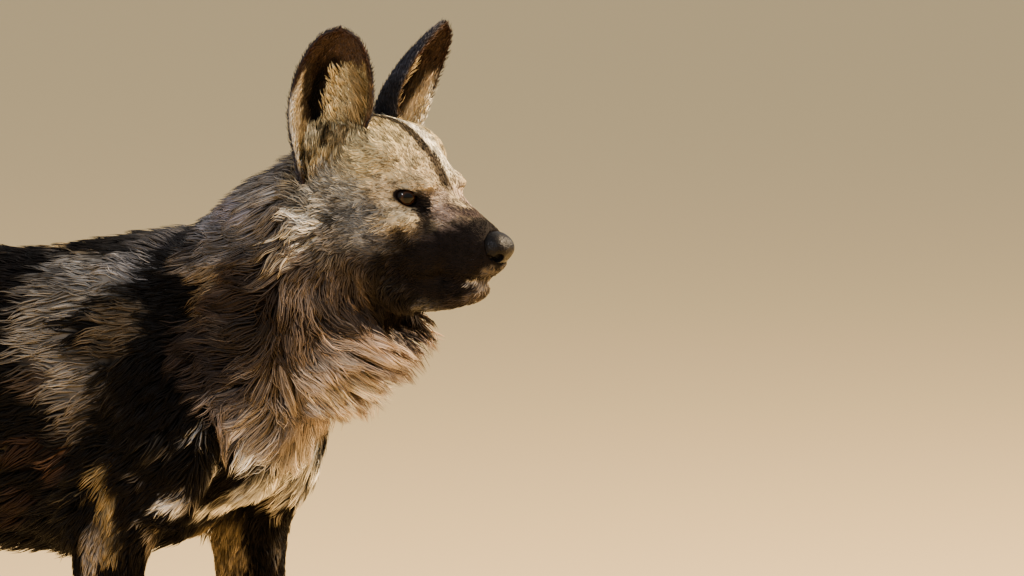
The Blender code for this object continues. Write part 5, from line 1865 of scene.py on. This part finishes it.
def new_material(name, roughness, specular=0.5, paint=None):
    """A material, one colour all over if that is given, with its node tree and its shader."""
    made = bpy.data.materials.new(name)
    made.use_nodes = True
    shader = made.node_tree.nodes["Principled BSDF"]
    shader.inputs["Roughness"].default_value = roughness
    shader.inputs["Specular IOR Level"].default_value = specular
    if paint:
        shader.inputs["Base Color"].default_value = (*linear(paint), 1.0)
    return made, made.node_tree, shader


def node(tree, kind, links=(), **settings):
    """Adds a node: settings are its own properties, or its inputs' values by name; links feed its inputs."""
    made = tree.nodes.new("ShaderNode" + kind)
    for key, value in settings.items():
        if hasattr(made, key):
            setattr(made, key, value)
        else:
            made.inputs[key.replace("_", " ")].default_value = value
    for socket, source in dict(links).items():
        tree.links.new(source, made.inputs[socket])
    return made


def marked(tree, shader):
    """Feeds the markings to the shader."""
    colour = node(tree, "Attribute", attribute_name="coat")
    tree.links.new(colour.outputs["Color"], shader.inputs["Base Color"])


def grained(tree, shader, kind, height, strength, **settings):
    """Feeds a fine grain, the same all over, to the shader."""
    place = node(tree, "TexCoord")
    grain = node(tree, kind, {"Vector": place.outputs["Object"]}, **settings)
    bump = node(tree, "Bump", {"Height": grain.outputs[height]}, Strength=strength, Distance=GRAIN_DEPTH)
    tree.links.new(bump.outputs["Normal"], shader.inputs["Normal"])


def coat_material():
    """Dog's hair: soft and dry, with hardly any shine, so that black hair stays deep black."""
    made, tree, shader = new_material("coat_hair", 0.58, 0.08)
    marked(tree, shader)
    return made


def skin_material():
    """Skin under short hair: dull, with the fine grain that the undercoat gives."""
    made, tree, shader = new_material("undercoat", 0.75, 0.05)
    marked(tree, shader)
    grained(tree, shader, "TexNoise", "Fac", 0.5, Scale=900.0, Detail=2.0)
    return made


def ramp(tree, source, stops):
    made = node(tree, "ValToRGB", {"Fac": source})
    band = made.color_ramp
    while len(band.elements) < len(stops):
        band.elements.new(0.5)
    for element, (place, paint) in zip(band.elements, stops):
        element.position = place
        element.color = (*linear(paint), 1.0)
    return made


def eye_material():
    """A wet eye: black pupil, dark amber iris with a darker ring, and a dark rim beyond it."""
    made, tree, shader = new_material("wet_eye", 0.06, 0.22)
    away = node(tree, "Attribute", attribute_name="away")
    colour = ramp(tree, away.outputs["Fac"], EYE_RINGS)
    tree.links.new(colour.outputs["Color"], shader.inputs["Base Color"])
    return made


def leather_material():
    """A dog's nose: black, damp and pebbled."""
    made, tree, shader = new_material("nose_leather", 0.36, 0.12, "0b090a")
    grained(tree, shader, "TexVoronoi", "Distance", 0.7, Scale=750.0)
    return made


coat_hair = coat_material()
undercoat = skin_material()
eye_surface = eye_material()
nose_leather = leather_material()
# Worn horn, dark and half dull.
claw_horn = new_material("claw_horn", 0.42, paint="2a221d")[0]
# A plain dull floor of the colour of dry grass.
pale_floor = new_material("pale_floor", 0.8, paint="dcc08a")[0]


def paint_skin(obj, skin):
    """The same markings as the coat's on the skin, with painted shade from the hair over it: a little darker
    everywhere, and darkest where that hair is long.
    """
    length = skin.numbers[:, 0]
    # painted shade: the skin darkened as if shaded by the coat over it
    dark = 0.9 - 0.4 * steps_between(length, 0.006, 0.020)
    colours = skin.colours * dark[:, None]
    face = into_head(skin.points)
    for sign in SIDES.values():
        blend(colours, LID_RIM, 1 - steps_between(eye_distance(face, sign), 1.0, 1.3))
    paint_points(obj.data, colours)


# The model

FLESH = ("head", "neck", "torso", "tail")
PAIRED_FLESH = ("ear", "foreleg", "forepaw", "thigh", "shank", "hindpaw")

skin_obj = make_skin()
skin = Skin(skin_obj)
paint_skin(skin_obj, skin)
flesh = [*FLESH, *(f"{name}_{side}" for name in PAIRED_FLESH for side in SIDES)]
finished(skin_obj, undercoat, "mottled_coat", *flesh)
grow_coat(skin)
for side, sign in SIDES.items():
    make_eye(f"eye_{side}", sign)
make_nose()
make_claws()

# Floor, light and camera

FLOOR_SIZE = 240.0
DISTANCE = 9.0
PIXEL = 0.00088  # metres of the dog to a pixel of the picture
PICTURE = (1024, 576)
EYES_AT = (434, 193)  # the picture's pixel that shows the point midway between the eyes
FARTHEST = 300.0
LIT_PLACE = Vector((0.1, 0, 0.5))
LAMPS = {
    # place, watts, size, colour
    "sun": ((3.2, 4.0, 4.4), 1900, 0.7, "ffe2b8"),
    "shade": ((1.6, -4.5, 2.9), 175, 0.5, "f6f5fb"),
}


def make_floor():
    bm = bmesh.new()
    bmesh.ops.create_grid(bm, x_segments=1, y_segments=1, size=FLOOR_SIZE / 2)
    floor = object_from("floor", bm)
    floor.data.materials.append(pale_floor)


def lamp(name, place, energy, size, colour):
    light = bpy.data.lights.new(name, "AREA")
    light.energy = energy
    light.size = size
    light.color = linear(colour)
    made = new_object(name, light)
    made.location = place
    made.rotation_euler = (LIT_PLACE - Vector(place)).to_track_quat("-Z", "Y").to_euler()


def make_camera():
    camera = bpy.data.cameras.new("camera")
    camera.sensor_width = 36.0
    camera.lens = camera.sensor_width * DISTANCE / (PIXEL * PICTURE[0])
    camera.clip_end = FARTHEST
    made = new_object("camera", camera)
    right = VIEW_RIGHT * ((EYES_AT[0] - PICTURE[0] / 2) * PIXEL)
    up = VIEW_UP * ((PICTURE[1] / 2 - EYES_AT[1]) * PIXEL)
    turn = Matrix((VIEW_RIGHT, VIEW_UP, VIEW_BACK)).transposed()
    made.matrix_world = Matrix.Translation(HEAD_PLACE - right - up + VIEW_BACK * DISTANCE) @ turn.to_4x4()
    bpy.context.scene.camera = made


def make_world():
    world = bpy.data.worlds.new("world")
    world.use_nodes = True
    sky = world.node_tree.nodes["Background"]
    sky.inputs["Color"].default_value = (*linear("e6e4df"), 1.0)
    sky.inputs["Strength"].default_value = 0.90
    bpy.context.scene.world = world


make_floor()
for name, row in LAMPS.items():
    lamp(name, *row)
make_camera()
make_world()
